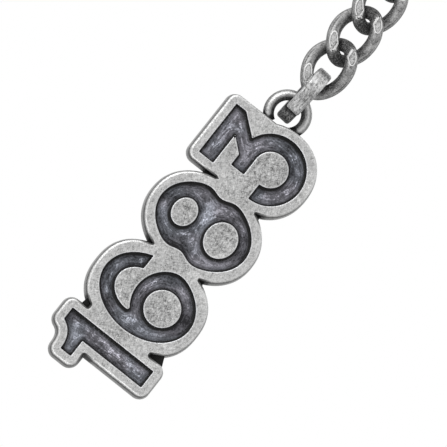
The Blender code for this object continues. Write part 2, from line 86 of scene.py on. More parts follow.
class Wire:
    """A shader value that takes part in Python arithmetic."""

    def __init__(self, board: "Board", socket: bpy.types.NodeSocket) -> None:
        """Wrap an output socket.

        Args:
            board: The node tree that the socket belongs to.
            socket: The output socket.
        """
        self.board = board
        self.socket = socket

    def _math(self, operation: str, first: Number, second: Number = 0.0) -> "Wire":
        """Add a Math node."""
        return self.board.node("ShaderNodeMath", {"operation": operation}, {0: first, 1: second})

    def __add__(self, other: Number) -> "Wire":
        """Sum."""
        return self._math("ADD", self, other)

    __radd__ = __add__

    def __sub__(self, other: Number) -> "Wire":
        """Difference."""
        return self._math("SUBTRACT", self, other)

    def __rsub__(self, other: Number) -> "Wire":
        """Difference with this value taken away."""
        return self._math("SUBTRACT", other, self)

    def __mul__(self, other: Number) -> "Wire":
        """Product."""
        return self._math("MULTIPLY", self, other)

    __rmul__ = __mul__

    def __truediv__(self, other: Number) -> "Wire":
        """Quotient."""
        return self._math("DIVIDE", self, other)

    def __rtruediv__(self, other: Number) -> "Wire":
        """Quotient with this value below."""
        return self._math("DIVIDE", other, self)

    def __pow__(self, other: Number) -> "Wire":
        """Power."""
        return self._math("POWER", self, other)

    def least(self, other: Number) -> "Wire":
        """The lower of two values."""
        return self._math("MINIMUM", self, other)

    def most(self, other: Number) -> "Wire":
        """The higher of two values."""
        return self._math("MAXIMUM", self, other)

    def size(self) -> "Wire":
        """Value without its sign."""
        return self._math("ABSOLUTE", self)

    def step(self, low: float, high: float) -> "Wire":
        """Smooth step from 0 at low to 1 at high, or down when low is the higher.

        Args:
            low: Value where the step starts.
            high: Value where it ends.

        Returns:
            A value from 0 to 1.
        """
        start, end, first, last = (low, high, 0.0, 1.0) if low < high else (high, low, 1.0, 0.0)
        return self.board.node("ShaderNodeMapRange", {"interpolation_type": "SMOOTHSTEP"},
                               {"Value": self, "From Min": start, "From Max": end,
                                "To Min": first, "To Max": last})


class Board:
    """Node tree of one material, filled by a finish."""

    def __init__(self, name: str) -> None:
        """Start a material.

        Args:
            name: The material's name.
        """
        self.material = bpy.data.materials.new(name)
        self.material.use_nodes = True
        self.tree = self.material.node_tree
        self.shader = self.tree.nodes["Principled BSDF"]
        self._place: Wire | None = None

    def node(self, kind: str, settings: dict[str, Any] | None = None,
             inputs: dict[int | str, Any] | None = None, output: int | str = 0) -> Wire:
        """Add any node.

        Args:
            kind: The node's type.
            settings: Properties to set first.
            inputs: Socket name or number to a value or a wire.
            output: Name or number of the output that is wanted.

        Returns:
            The wanted output.
        """
        made = self.tree.nodes.new(kind)
        for key, value in (settings or {}).items():
            setattr(made, key, value)
        for key, value in (inputs or {}).items():
            self.feed(self._socket(made.inputs, key), value)
        return Wire(self, self._socket(made.outputs, output))

    @staticmethod
    def _socket(sockets: Any, key: int | str) -> bpy.types.NodeSocket:
        """Socket by number, identifier or name."""
        return next((item for item in sockets if item.identifier == key), None) or sockets[key]

    def feed(self, socket: bpy.types.NodeSocket, value: Any) -> None:
        """Link a wire to a socket, or set the socket's own value.

        Args:
            socket: The input.
            value: A wire, a number, a vector or a colour without its alpha.
        """
        if isinstance(value, Wire):
            self.tree.links.new(value.socket, socket)
        elif isinstance(value, tuple) and len(value) == 3 and socket.type == "RGBA":
            socket.default_value = (*value, 1.0)
        else:
            socket.default_value = value

    def surface(self, **sockets: Any) -> None:
        """Set or link the shader's sockets, given by name with _ for a space."""
        for name, value in sockets.items():
            self.feed(self.shader.inputs[name.replace("_", " ")], value)

    @property
    def place(self) -> Wire:
        """Object coordinates in millimetres.

        Returns:
            The coordinates, made once.
        """
        if self._place is None:
            where = self.node("ShaderNodeTexCoord", output="Object")
            self._place = self.node("ShaderNodeVectorMath", {"operation": "SCALE"},
                                    {0: where, "Scale": 1.0 / MM})
        return self._place

    def turned(self, angles: tuple[float, float, float], stretch: tuple[float, float, float]) -> Wire:
        """Place turned by degrees, then stretched.

        Args:
            angles: Degrees about X, Y and Z.
            stretch: Factors on X, Y and Z.

        Returns:
            The coordinates.
        """
        spin = tuple(math.radians(angle) for angle in angles)
        spun = self.node("ShaderNodeMapping", {}, {"Vector": self.place, "Rotation": spin})
        return self.node("ShaderNodeMapping", {}, {"Vector": spun, "Scale": stretch})

    def noise(self, per_mm: float, detail: float = 3.0, rough: float = 0.55,
              where: Wire | None = None) -> Wire:
        """Noise from 0 to 1.

        Args:
            per_mm: Lumps per millimetre.
            detail: Octaves.
            rough: Weight of the finer octaves.
            where: Coordinates, the place in millimetres where none are given.

        Returns:
            The noise's value.
        """
        return self.node("ShaderNodeTexNoise", {"noise_dimensions": "3D"},
                         {"Vector": where or self.place, "Scale": per_mm,
                          "Detail": detail, "Roughness": rough})

    def mark(self, name: str) -> Wire:
        """A value stored on the mesh's points."""
        return self.node("ShaderNodeAttribute", {"attribute_name": name}, output="Fac")

    def mix(self, share: Number, first: Any, second: Any) -> Wire:
        """Mix two colours."""
        return self.node("ShaderNodeMix", {"data_type": "RGBA"},
                         {"Factor_Float": share, "A_Color": first, "B_Color": second}, "Result_Color")

    def grey(self, tone: Number, tint: tuple[float, float, float] | Wire) -> Wire:
        """Colour of one tone with a tint.

        Args:
            tone: How light it is.
            tint: What it is multiplied by.

        Returns:
            The colour.
        """
        flat = self.node("ShaderNodeCombineColor", {}, {"Red": tone, "Green": tone, "Blue": tone})
        return self.node("ShaderNodeMix", {"data_type": "RGBA", "blend_type": "MULTIPLY"},
                         {"Factor_Float": 1.0, "A_Color": flat, "B_Color": tint}, "Result_Color")

    def bump(self, height: Wire, depth: float, strength: float = 1.0) -> Wire:
        """Normal from a height, whose full swing is a depth in metres."""
        return self.node("ShaderNodeBump", {}, {"Strength": strength, "Distance": depth, "Height": height})


@dataclass(frozen=True)
class AntiquePewter:
    """Cast pewter, blackened and then tumbled so that its raised face is bright again; its colour also
    carries painted highlights on the edges and painted shade in the creases, notches and recesses.
    """

    face_tone: float = 0.405
    recess_tone: float = 0.124
    wall_tone: float = 0.215
    black_tone: float = 0.010
    # Tone of the painted highlight on the worn edges
    wear_and_highlight_tone: float = 0.74
    face_tint: tuple[float, float, float] = (1.0, 1.0, 0.995)
    recess_tint: tuple[float, float, float] = (0.925, 0.97, 1.105)
    recess_warm_tint: tuple[float, float, float] = (0.985, 0.965, 1.09)
    darkest_height: float = 97.0
    darkest_reach: float = 22.0

    def build(self) -> bpy.types.Material:
        """Make the material.

        Returns:
            The finished material.
        """
        board = Board("antique_pewter")
        recess, edge, patina_and_shade, wall, away = (board.mark(name) for name in FobCasting.mark_names)
        grain = board.noise(3.6, 2.0, 0.65) - 0.5
        speck = board.noise(7.5, 1.0, 0.5) - 0.5
        cloud = board.noise(0.42, 3.0, 0.5) - 0.5
        brushed = board.noise(1.0, 3.0, 0.6, board.turned((0.0, 24.0, 0.0), (6.0, 2.0, 1.3))) - 0.5
        crossed = board.noise(1.0, 2.0, 0.6, board.turned((0.0, -50.0, 0.0), (6.5, 2.0, 1.5))) - 0.5
        mottle = board.noise(1.25, 2.0, 0.5) - 0.5
        patches = board.noise(0.35, 2.0, 0.5).step(0.50, 0.61)
        pits = (speck * 0.5 + grain * 0.5 + mottle * 0.6).step(0.05, 0.17) * (0.06 + patches * 0.94)
        depth = 0.62 + away * 0.42
        rough = grain * 1.5 + speck * 1.5 + mottle * 1.5 + (brushed + crossed) * 1.7 + cloud * 0.6
        face = (1.0 + rough * depth).most(0.3) * (1.0 - pits * depth * 0.75)
        face = self.face_tone * (1.085 - away * 0.21) * face

        height = board.node("ShaderNodeSeparateXYZ", {}, {"Vector": board.place}, "Z")
        away_from_six = (height + self.darkest_height).size() / self.darkest_reach
        drift = board.node("ShaderNodeCombineXYZ", {}, {"Y": away * 4.5})
        flowing = board.node("ShaderNodeVectorMath", {"operation": "MULTIPLY_ADD"},
                             {0: board.place, 1: (0.8, 0.0, 0.8), 2: drift})
        flow = board.noise(1.0, 4.0, 0.65, flowing) - 0.5
        lumps = board.noise(0.50, 3.0, 0.55) - 0.5
        broad = board.noise(0.15, 1.0) - 0.5 + (away_from_six.least(1.0) - 0.5) * 0.12
        smear = (flow * 1.1 + lumps * 0.8 + broad * 0.9 + grain * 0.3).step(0.0, 0.14) * away.step(0.25, 0.85)
        glints = (speck * 0.8 + flow * 0.7 + grain * 0.7).step(0.05, 0.19) * smear * (0.35 + patches * 0.65)
        floor = 1.0 + broad * 2.0 + lumps * 1.6 + grain * 1.6 + speck * 0.7 + flow * 2.8
        # The floor is painted darker near its walls, for patina and painted shade
        floor = floor - (1.0 - away) ** 2.0 * 0.46
        floor = (self.recess_tone * floor * (1.0 - patina_and_shade * 0.45)).most(0.016) + smear * 0.090 + glints * 0.40

        sides = self.wall_tone * (1.0 + grain * 1.6 + speck * 0.8 + cloud * 1.1 + brushed * 0.8)
        tone = face * (1.0 - wall) + sides * wall
        tone = tone * (1.0 - recess) + floor * recess
        # Near-black where patina fills the recesses and creases, and where painted shadow falls at wall feet,
        # in the notches and at the eye's feet
        black = (patina_and_shade + (grain * 0.9 + speck * 0.5) * patina_and_shade).step(0.30, 0.62)
        tone = tone * (1.0 - black) + black * self.black_tone
        # Painted highlight along the rounded edges of the face and of the recess rims, partly the wear of
        # tumbling
        wear_and_highlight = edge * (0.80 + grain * 1.8).most(0.0).least(1.0)
        tone = (tone * (1.0 - wear_and_highlight) + wear_and_highlight * self.wear_and_highlight_tone).most(0.006)
        hue = board.mix(board.noise(0.16, 1.0).step(0.42, 0.58), self.recess_tint, self.recess_warm_tint)
        tint = board.mix(recess * (1.0 - black), self.face_tint, hue)
        relief = grain * 0.7 + speck * 0.4 - pits * 0.35 + (brushed + crossed + flow * recess) * 0.5
        board.surface(Base_Color=board.grey(tone, tint), IOR=1.35,
                      Metallic=0.80 - recess * 0.25 - black * 0.30,
                      Roughness=0.42 + grain * 0.4 + recess * 0.10 + black * 0.12 - wear_and_highlight * 0.12,
                      Normal=board.bump(relief, 0.06 * MM, 0.9))
        return board.material


@dataclass(frozen=True)
class AntiquedWire:
    """Chain wire, dark in its hollows and on its sides from patina and painted shade, with bright ground
    flats and painted highlights on their rims.
    """

    tone: float = 0.286
    side_patina_and_shade_tone: float = 0.104
    hollow_patina_and_shade_tone: float = 0.030
    flat_tone: float = 0.392
    rim_highlight_tone: float = 0.66

    def build(self) -> bpy.types.Material:
        """Make the material.

        Returns:
            The finished material.
        """
        board = Board("antiqued_wire")
        inner, flat, rim, side, along = (board.mark(name) for name in CurbChain.mark_names)
        grain = board.noise(3.8, 3.0, 0.65) - 0.5
        speck = board.noise(7.5, 1.0, 0.5) - 0.5
        cloud = board.noise(0.6, 2.0) - 0.5
        running = board.node("ShaderNodeCombineXYZ", {}, {"X": side * 8.0, "Y": along * 0.6})
        streaks = board.noise(1.0, 3.0, 0.6, running) - 0.5
        # Painted shade with patina inside the loop and at the ends where links pass through each other
        hollow_patina_and_shade = (inner + cloud * 0.4 + grain * 0.5 + streaks * 0.4).step(0.32, 0.74)
        # The wire's sides darken from patina and painted shade
        side_patina_and_shade = (side + cloud * 0.3 + streaks * 0.4).step(0.50, 0.95)
        arm = self.tone * (1.0 - side_patina_and_shade) + self.side_patina_and_shade_tone * side_patina_and_shade
        arm = arm * (1.0 + grain * 2.2 + speck * 1.6 + streaks * 3.2 + cloud * 0.9).most(0.15)
        hidden = self.hollow_patina_and_shade_tone * (1.0 + (speck + grain * 0.7 + streaks * 0.5).step(-0.02, 0.13) * 6.0)
        arm = arm * (1.0 - hollow_patina_and_shade) + hollow_patina_and_shade * hidden
        ground = self.flat_tone * (1.0 + grain * 2.6 + speck * 1.6 + cloud * 0.8).most(0.2)
        tone = arm * (1.0 - flat) + ground * flat
        # Painted highlight on the rims of the ground flats
        bright = (rim + speck * 0.8 * rim + grain * 0.9 * rim).step(0.35, 0.95)
        tone = tone * (1.0 - bright) + bright * self.rim_highlight_tone
        height = grain * 0.7 + streaks * 0.4 + speck * 0.4
        board.surface(Base_Color=board.grey(tone.most(0.008), (1.0, 0.998, 0.995)),
                      Metallic=0.80 - hollow_patina_and_shade * 0.3, IOR=1.4, Roughness=0.58 + grain * 0.3 + hollow_patina_and_shade * 0.1,
                      Normal=board.bump(height, 0.055 * MM, 0.9))
        return board.material


@dataclass(frozen=True)
class BrushedBand:
    """Flat band brushed along its length, with darkened inside, painted shadow at its cut ends, painted shade
    on its lower part, and painted highlights on its corners and on a worn patch.
    """

    tone: float = 0.318
    inside_tone: float = 0.055
    lower_shade_tone: float = 0.150
    wear_and_highlight_tone: float = 0.56

    def build(self) -> bpy.types.Material:
        """Make the material.

        Returns:
            The finished material.
        """
        board = Board("brushed_band")
        inner, edge, ends, lower_shade, wear_and_highlight = (board.mark(name) for name in JumpRing.mark_names)
        streaks = board.noise(1.0, 4.0, 0.65, board.turned((0.0, -4.5, 0.0), (6.0, 0.9, 0.9))) - 0.5
        grain = board.noise(4.0, 3.0, 0.65) - 0.5
        crossed = board.noise(1.0, 2.0, 0.6, board.turned((0.0, 40.0, 0.0), (5.0, 2.0, 1.5))) - 0.5
        cloud = board.noise(0.7, 2.0) - 0.5
        texture = (streaks * 3.4 + grain * 2.2 + crossed * 2.0) * (1.0 - wear_and_highlight * 0.45)
        texture = (1.0 + texture + cloud * 0.7).most(0.15)
        # A worn patch near the top of the ring, brightened as a painted highlight
        worn_highlight_mask = (wear_and_highlight + (crossed + streaks) * 1.3 * wear_and_highlight).step(0.20, 0.75)
        band = self.tone * texture
        band = band * (1.0 - worn_highlight_mask) + self.wear_and_highlight_tone * texture * worn_highlight_mask
        # Painted shade on the ring's lower part
        shade = (lower_shade + streaks * 0.9 * lower_shade).step(0.20, 0.85)
        band = band * (1.0 - shade) + self.lower_shade_tone * (texture * 1.8 - 0.8).most(0.2) * shade
        tone = band * (1.0 - inner) + inner * self.inside_tone
        # Painted shadow at the cut ends
        tone = tone * (1.0 - ends * 0.93)
        # Painted highlight on the band's rounded corners, kept off the cut ends and the lower part
        bright = edge * (1.0 - ends) * (1.0 - shade) * (0.6 + grain * 1.4).most(0.0).least(1.0)
        tone = tone * (1.0 - bright * 0.5) + bright * 0.22
        board.surface(Base_Color=board.grey(tone.most(0.008), (1.0, 1.0, 0.998)), Metallic=0.82, IOR=1.5,
                      Roughness=0.50 + streaks * 0.3 + inner * 0.05 + shade * 0.05,
                      Normal=board.bump(streaks * 0.7 + grain * 0.6 + crossed * 0.4, 0.05 * MM, 0.9))
        return board.material


@dataclass(frozen=True)
class SplitRingPlate:
    """Nickel-plated spring strip, polished along its turns, with painted shade between the turns and painted
    highlights on its rounded edges.
    """

    tone: float = 0.46
    gap_shade_tone: float = 0.10

    def build(self) -> bpy.types.Material:
        """Make the material.

        Returns:
            The finished material.
        """
        board = Board("split_ring_plate")
        inner, edge = board.mark("inner"), board.mark("rim")
        around = board.mark("radius")
        streaks = board.noise(1.0, 3.0, 0.6, board.node("ShaderNodeCombineXYZ", {}, {"X": around * 11.0}))
        grain = board.noise(3.6, 3.0, 0.6)
        cloud = board.noise(0.25, 2.0)
        tone = self.tone + (streaks - 0.5) * 0.16 + (grain - 0.5) * 0.16 + (cloud - 0.5) * 0.14
        # Painted shade on the faces where the two turns lie against each other
        tone = tone * (1.0 - inner) + inner * (self.gap_shade_tone + grain * 0.06)
        # Painted highlight on the strip's rounded edges
        bright = edge * (0.7 + (grain - 0.5)).most(0.0).least(1.0)
        tone = tone * (1.0 - bright * 0.6) + bright * 0.42
        board.surface(Base_Color=board.grey(tone, (1.0, 0.998, 0.99)), Metallic=0.88, IOR=1.5,
                      Roughness=0.27 + (grain - 0.5) * 0.2 + inner * 0.2,
                      Normal=board.bump(streaks * 0.4 + grain * 0.4, 0.02 * MM, 0.6))
        return board.material


@dataclass(frozen=True)
class PaleFloor:
    """Plain pale floor."""

    tone: float = 0.86

    def build(self) -> bpy.types.Material:
        """Make the material.

        Returns:
            The finished material.
        """
        board = Board("pale_floor")
        tone = self.tone + (board.noise(0.02, 2.0) - 0.5) * 0.02
        board.surface(Base_Color=board.grey(tone, (1.0, 1.0, 1.0)), Roughness=0.9)
        return board.material


def arc(centre: Point, half_width: float, half_height: float, start: float, end: float,
        step: float = 3.0) -> Outline:
    """Points on an ellipse in (along, across).

    Args:
        centre: The ellipse's centre.
        half_width: Half of its size along the fob.
        half_height: Half of its size across the fob.
        start: First angle in degrees; 0 is along the fob and 90 is across it.
        end: Last angle.
        step: Degrees between points.

    Returns:
        The points, both ends included.
    """
    count = max(2, int(round(abs(end - start) / step)))
    turns = [math.radians(start + (end - start) * index / count) for index in range(count + 1)]
    return [(centre[0] + half_width * math.cos(turn), centre[1] + half_height * math.sin(turn))
            for turn in turns]


def oval(centre: Point, half_width: float, half_height: float, step: float = 3.0) -> Outline:
    """Closed ellipse."""
    return arc(centre, half_width, half_height, 0.0, 360.0 - step, step)


def fuller(centre: Point, half_width: float, half_height: float, power: float) -> Outline:
    """Closed oval that is fuller than an ellipse.

    Args:
        centre: The oval's centre.
        half_width: Half of its size along the fob.
        half_height: Half of its size across the fob.
        power: Its fullness, 2 for a true ellipse.

    Returns:
        The oval's points.
    """
    result: Outline = []
    for along, across in oval(centre, half_width, half_height):
        first, second = (along - centre[0]) / half_width, (across - centre[1]) / half_height
        scale = (abs(first) ** power + abs(second) ** power) ** (-1.0 / power)
        result.append((centre[0] + (along - centre[0]) * scale, centre[1] + (across - centre[1]) * scale))
    return result


def bent(start: Vector, bend: Vector, end: Vector, share: float) -> Point:
    """Place at a share of the way along a curve that a third place draws to itself."""
    return tuple(start * (1.0 - share) ** 2 + bend * 2.0 * share * (1.0 - share) + end * share ** 2)


def led_into(first: Outline, second: Outline, reach: float) -> Outline:
    """Two runs that meet in a slight corner, joined by a smooth curve instead.

    Args:
        first: The run that ends at the corner.
        second: The run that starts there.
        reach: How far from the corner the curve starts and ends.

    Returns:
        One run.
    """
    corner = Vector(first[-1])
    before = [point for point in first if (Vector(point) - corner).length > reach]
    after = [point for point in second if (Vector(point) - corner).length > reach]
    start, end = Vector(before[-1]), Vector(after[0])
    into, out = start - Vector(before[-2]), Vector(after[1]) - end
    bend = start + into * ((end - start).cross(out) / into.cross(out))
    return before + [bent(start, bend, end, share) for share in (0.15, 0.3, 0.45, 0.6, 0.75, 0.9)] + after


def shifted(points: Outline, along: float) -> Outline:
    """The same outline, moved along the fob."""
    return [(a + along, b) for a, b in points]


def enclosed(points: Outline) -> float:
    """Twice the enclosed area, positive where the outline turns from along to across."""
    return sum(a0 * b1 - a1 * b0 for (a0, b0), (a1, b1) in zip(points, points[1:] + points[:1]))


def neighbours(points: Outline, index: int) -> tuple[Vector, Vector, Vector]:
    """The point before, the point itself and the point after."""
    count = len(points)
    return Vector(points[index - 1]), Vector(points[index]), Vector(points[(index + 1) % count])


def corner_turn(into: Vector, out: Vector) -> float:
    """Degrees by which a path turns at a corner."""
    return math.degrees(math.atan2(into.cross(out), into.dot(out)))


def grown(points: Outline, distance: float, step: float = 9.0) -> Outline:
    """Outline moved outwards, with its outer corners rounded.

    Args:
        points: The outline.
        distance: How far it moves.
        step: Degrees between the points of a rounded corner.

    Returns:
        The wider outline, turning from along to across.
    """
    ring = list(points) if enclosed(points) > 0.0 else list(reversed(points))
    result: Outline = []
    for index in range(len(ring)):
        before, here, after = neighbours(ring, index)
        into, out = (here - before).normalized(), (after - here).normalized()
        first, second = Vector((into.y, -into.x)), Vector((out.y, -out.x))
        turn = corner_turn(into, out)
        if turn > 2.0 * step:
            count = max(1, int(round(turn / step)))
            for number in range(count + 1):
                spoke = Matrix.Rotation(math.radians(turn * number / count), 2) @ first
                result.append(tuple(here + spoke * distance))
        else:
            middle = (first + second).normalized()
            result.append(tuple(here + middle * (distance / max(middle.dot(first), 0.5))))
    return result


def spread(points: Outline, distance: float) -> Outline:
    """Outline moved outwards point by point, with its number of points kept.

    Args:
        points: The outline.
        distance: How far it moves.

    Returns:
        The moved outline.
    """
    if distance == 0.0:
        return list(points)
    sign = 1.0 if enclosed(points) > 0.0 else -1.0
    result: Outline = []
    for index in range(len(points)):
        before, here, after = neighbours(points, index)
        into, out = (here - before).normalized(), (after - here).normalized()
        first = Vector((into.y, -into.x)) * sign
        middle = (first + Vector((out.y, -out.x)) * sign).normalized()
        result.append(tuple(here + middle * (distance / max(middle.dot(first), 0.55))))
    return result


def softened(points: Outline, radius: float, sharp: float = 25.0) -> Outline:
    """Outline with its sharp corners eased.

    Args:
        points: The outline.
        radius: How far from the corner the easing starts.
        sharp: Turn in degrees from which a corner is eased.

    Returns:
        The eased outline.
    """
    result: Outline = []
    for index in range(len(points)):
        before, here, after = neighbours(points, index)
        if abs(corner_turn(here - before, after - here)) < sharp:
            result.append(tuple(here))
            continue
        start = here + (before - here).normalized() * min(radius, (before - here).length * 0.45)
        end = here + (after - here).normalized() * min(radius, (after - here).length * 0.45)
        result += [bent(start, here, end, share) for share in (0.0, 0.2, 0.4, 0.6, 0.8, 1.0)]
    return result


def divided(points: Outline, longest: float) -> Outline:
    """Outline with its long straight sides cut into shorter ones.

    Args:
        points: The outline.
        longest: The longest side that is left.

    Returns:
        The same outline with more points.
    """
    result: Outline = []
    for start, end in zip(points, points[1:] + points[:1]):
        first, last = Vector(start), Vector(end)
        count = max(1, math.ceil((last - first).length / longest))
        result += [tuple(first.lerp(last, number / count)) for number in range(count)]
    return result


def once(items: Iterable[Any]) -> list[Any]:
    """Each item once, in the order in which they first come."""
    return list(dict.fromkeys(items))


def spot_tree(spots: Iterable[Vector]) -> KDTree:
    """Tree that finds the nearest of some places.

    Args:
        spots: The places.

    Returns:
        The tree.
    """
    listed = list(spots)
    tree = KDTree(len(listed))
    for index, spot in enumerate(listed):
        tree.insert(spot, index)
    tree.balance()
    return tree


def placed(name: str, data: bpy.types.ID) -> bpy.types.Object:
    """New object in the scene.

    Args:
        name: Its name.
        data: What it shows.

    Returns:
        The object.
    """
    item = bpy.data.objects.new(name, data)
    bpy.context.scene.collection.objects.link(item)
    return item


def meshed(name: str, bm: Mesh) -> bpy.types.Object:
    """Turn a bmesh into an object at the origin.

    Args:
        name: The object's name.
        bm: The shape, turned to face outwards and then freed.

    Returns:
        The object.
    """
    bmesh.ops.recalc_face_normals(bm, faces=bm.faces)
    mesh = bpy.data.meshes.new(name)
    bm.to_mesh(mesh)
    bm.free()
    return placed(name, mesh)


def new_piece(name: str, bm: Mesh, material: bpy.types.Material, sharp: float) -> bpy.types.Object:
    """Turn a bmesh into a finished piece.

    Args:
        name: The piece's name.
        bm: The shape, freed here.
        material: Its finish.
        sharp: Degrees above which an edge is shaded sharp.

    Returns:
        The piece.
    """
    item = meshed(name, bm)
    item.data.materials.append(material)
    item.data.shade_smooth()
    item.data.set_sharp_from_angle(angle=math.radians(sharp))
    return item


def settle(item: bpy.types.Object, node: str, body: str) -> None:
    """Hide the node that a piece stands for, and put the piece on its body.

    Args:
        item: The piece.
        node: The solid that it stands for.
        body: The body that carries it.
    """
    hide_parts(node)
    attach(item, body)
    LOG.info("%s stands for %s and rides on %s: %d faces", item.name, node, body, len(item.data.polygons))


def marked(names: Iterable[str]) -> tuple[Mesh, Marks]:
    """Empty shape, and the marks that its points carry."""
    bm = bmesh.new()
    return bm, {name: bm.verts.layers.float.new(name) for name in names}


def slab(bm: Mesh, outline: Iterable[Point], front: float, depth: float) -> list[Vert]:
    """Add a flat slab.

    Args:
        bm: The shape that it joins.
        outline: Its outline in (along, across).
        front: Where its front lies.
        depth: Its thickness, backwards from there.

    Returns:
        Its points.
    """
    face = bm.faces.new([bm.verts.new((across, front, along)) for along, across in outline])
    moved = bmesh.ops.extrude_face_region(bm, geom=[face])
    far = [item for item in moved["geom"] if isinstance(item, Vert)]
    bmesh.ops.translate(bm, verts=far, vec=(0.0, depth, 0.0))
    return [*far, *face.verts]


def filled(bm: Mesh, edges: Sequence[Edge]) -> list[Face]:
    """Flat faces between closed runs of edges.

    Args:
        bm: The shape.
        edges: One outer run and any runs inside it, which stay open.

    Returns:
        The new faces.
    """
    made = bmesh.ops.triangle_fill(bm, use_beauty=True, use_dissolve=False, edges=edges)
    return [item for item in made["geom"] if isinstance(item, Face)]


def run_edges(verts: Sequence[Vert]) -> list[Edge]:
    """Edges of a closed run of points."""
    pairs = zip(verts[-1:] + verts[:-1], verts)
    return [next(edge for edge in last.link_edges if edge.other_vert(last) is first) for first, last in pairs]


def started(bm: Mesh, spots: Sequence[Vector]) -> list[Vert]:
    """First closed run of points of a drawn shape.

    Args:
        bm: The shape.
        spots: Where the points go.

    Returns:
        The run, joined by edges.
    """
    verts = [bm.verts.new(spot) for spot in spots]
    for index in range(len(verts)):
        bm.edges.new((verts[index - 1], verts[index]))
    return verts


def drawn(bm: Mesh, verts: Sequence[Vert], spots: Sequence[Vector]) -> list[Vert]:
    """Extrude a closed run of points to new places.

    Args:
        bm: The shape.
        verts: The run.
        spots: Where each of its points goes.

    Returns:
        The new run, point for point.
    """
    made = bmesh.ops.extrude_edge_only(bm, edges=run_edges(verts))
    fresh = {item for item in made["geom"] if isinstance(item, Vert)}
    moved = [next(edge.other_vert(vert) for edge in vert.link_edges if edge.other_vert(vert) in fresh)
             for vert in verts]
    for vert, spot in zip(moved, spots):
        vert.co = spot
    return moved


@dataclass
class Moulding:
    """Band of rings that follow an outline at several offsets and depths, each extruded from the last."""

    bm: Mesh
    marks: Marks
    side: Side

    def run(self, outline: Outline, profile: Sequence[Ring]) -> tuple[list[Edge], list[Edge]]:
        """Build the band.

        Args:
            outline: The closed outline in (along, across).
            profile: Offset away from the metal, depth behind the centre plane, and marks of each ring.

        Returns:
            Edges of the first and of the last ring.
        """
        first: list[Vert] = []
        verts: list[Vert] = []
        for offset, depth, values in profile:
            moved = spread(outline, offset * self.side.value)
            spots = [Vector((across, depth, along)) for along, across in moved]
            verts = drawn(self.bm, verts, spots) if verts else started(self.bm, spots)
            first = first or verts
            for vert in verts:
                for name, layer in self.marks.items():
                    vert[layer] = values.get(name, 0.0)
        return run_edges(first), run_edges(verts)


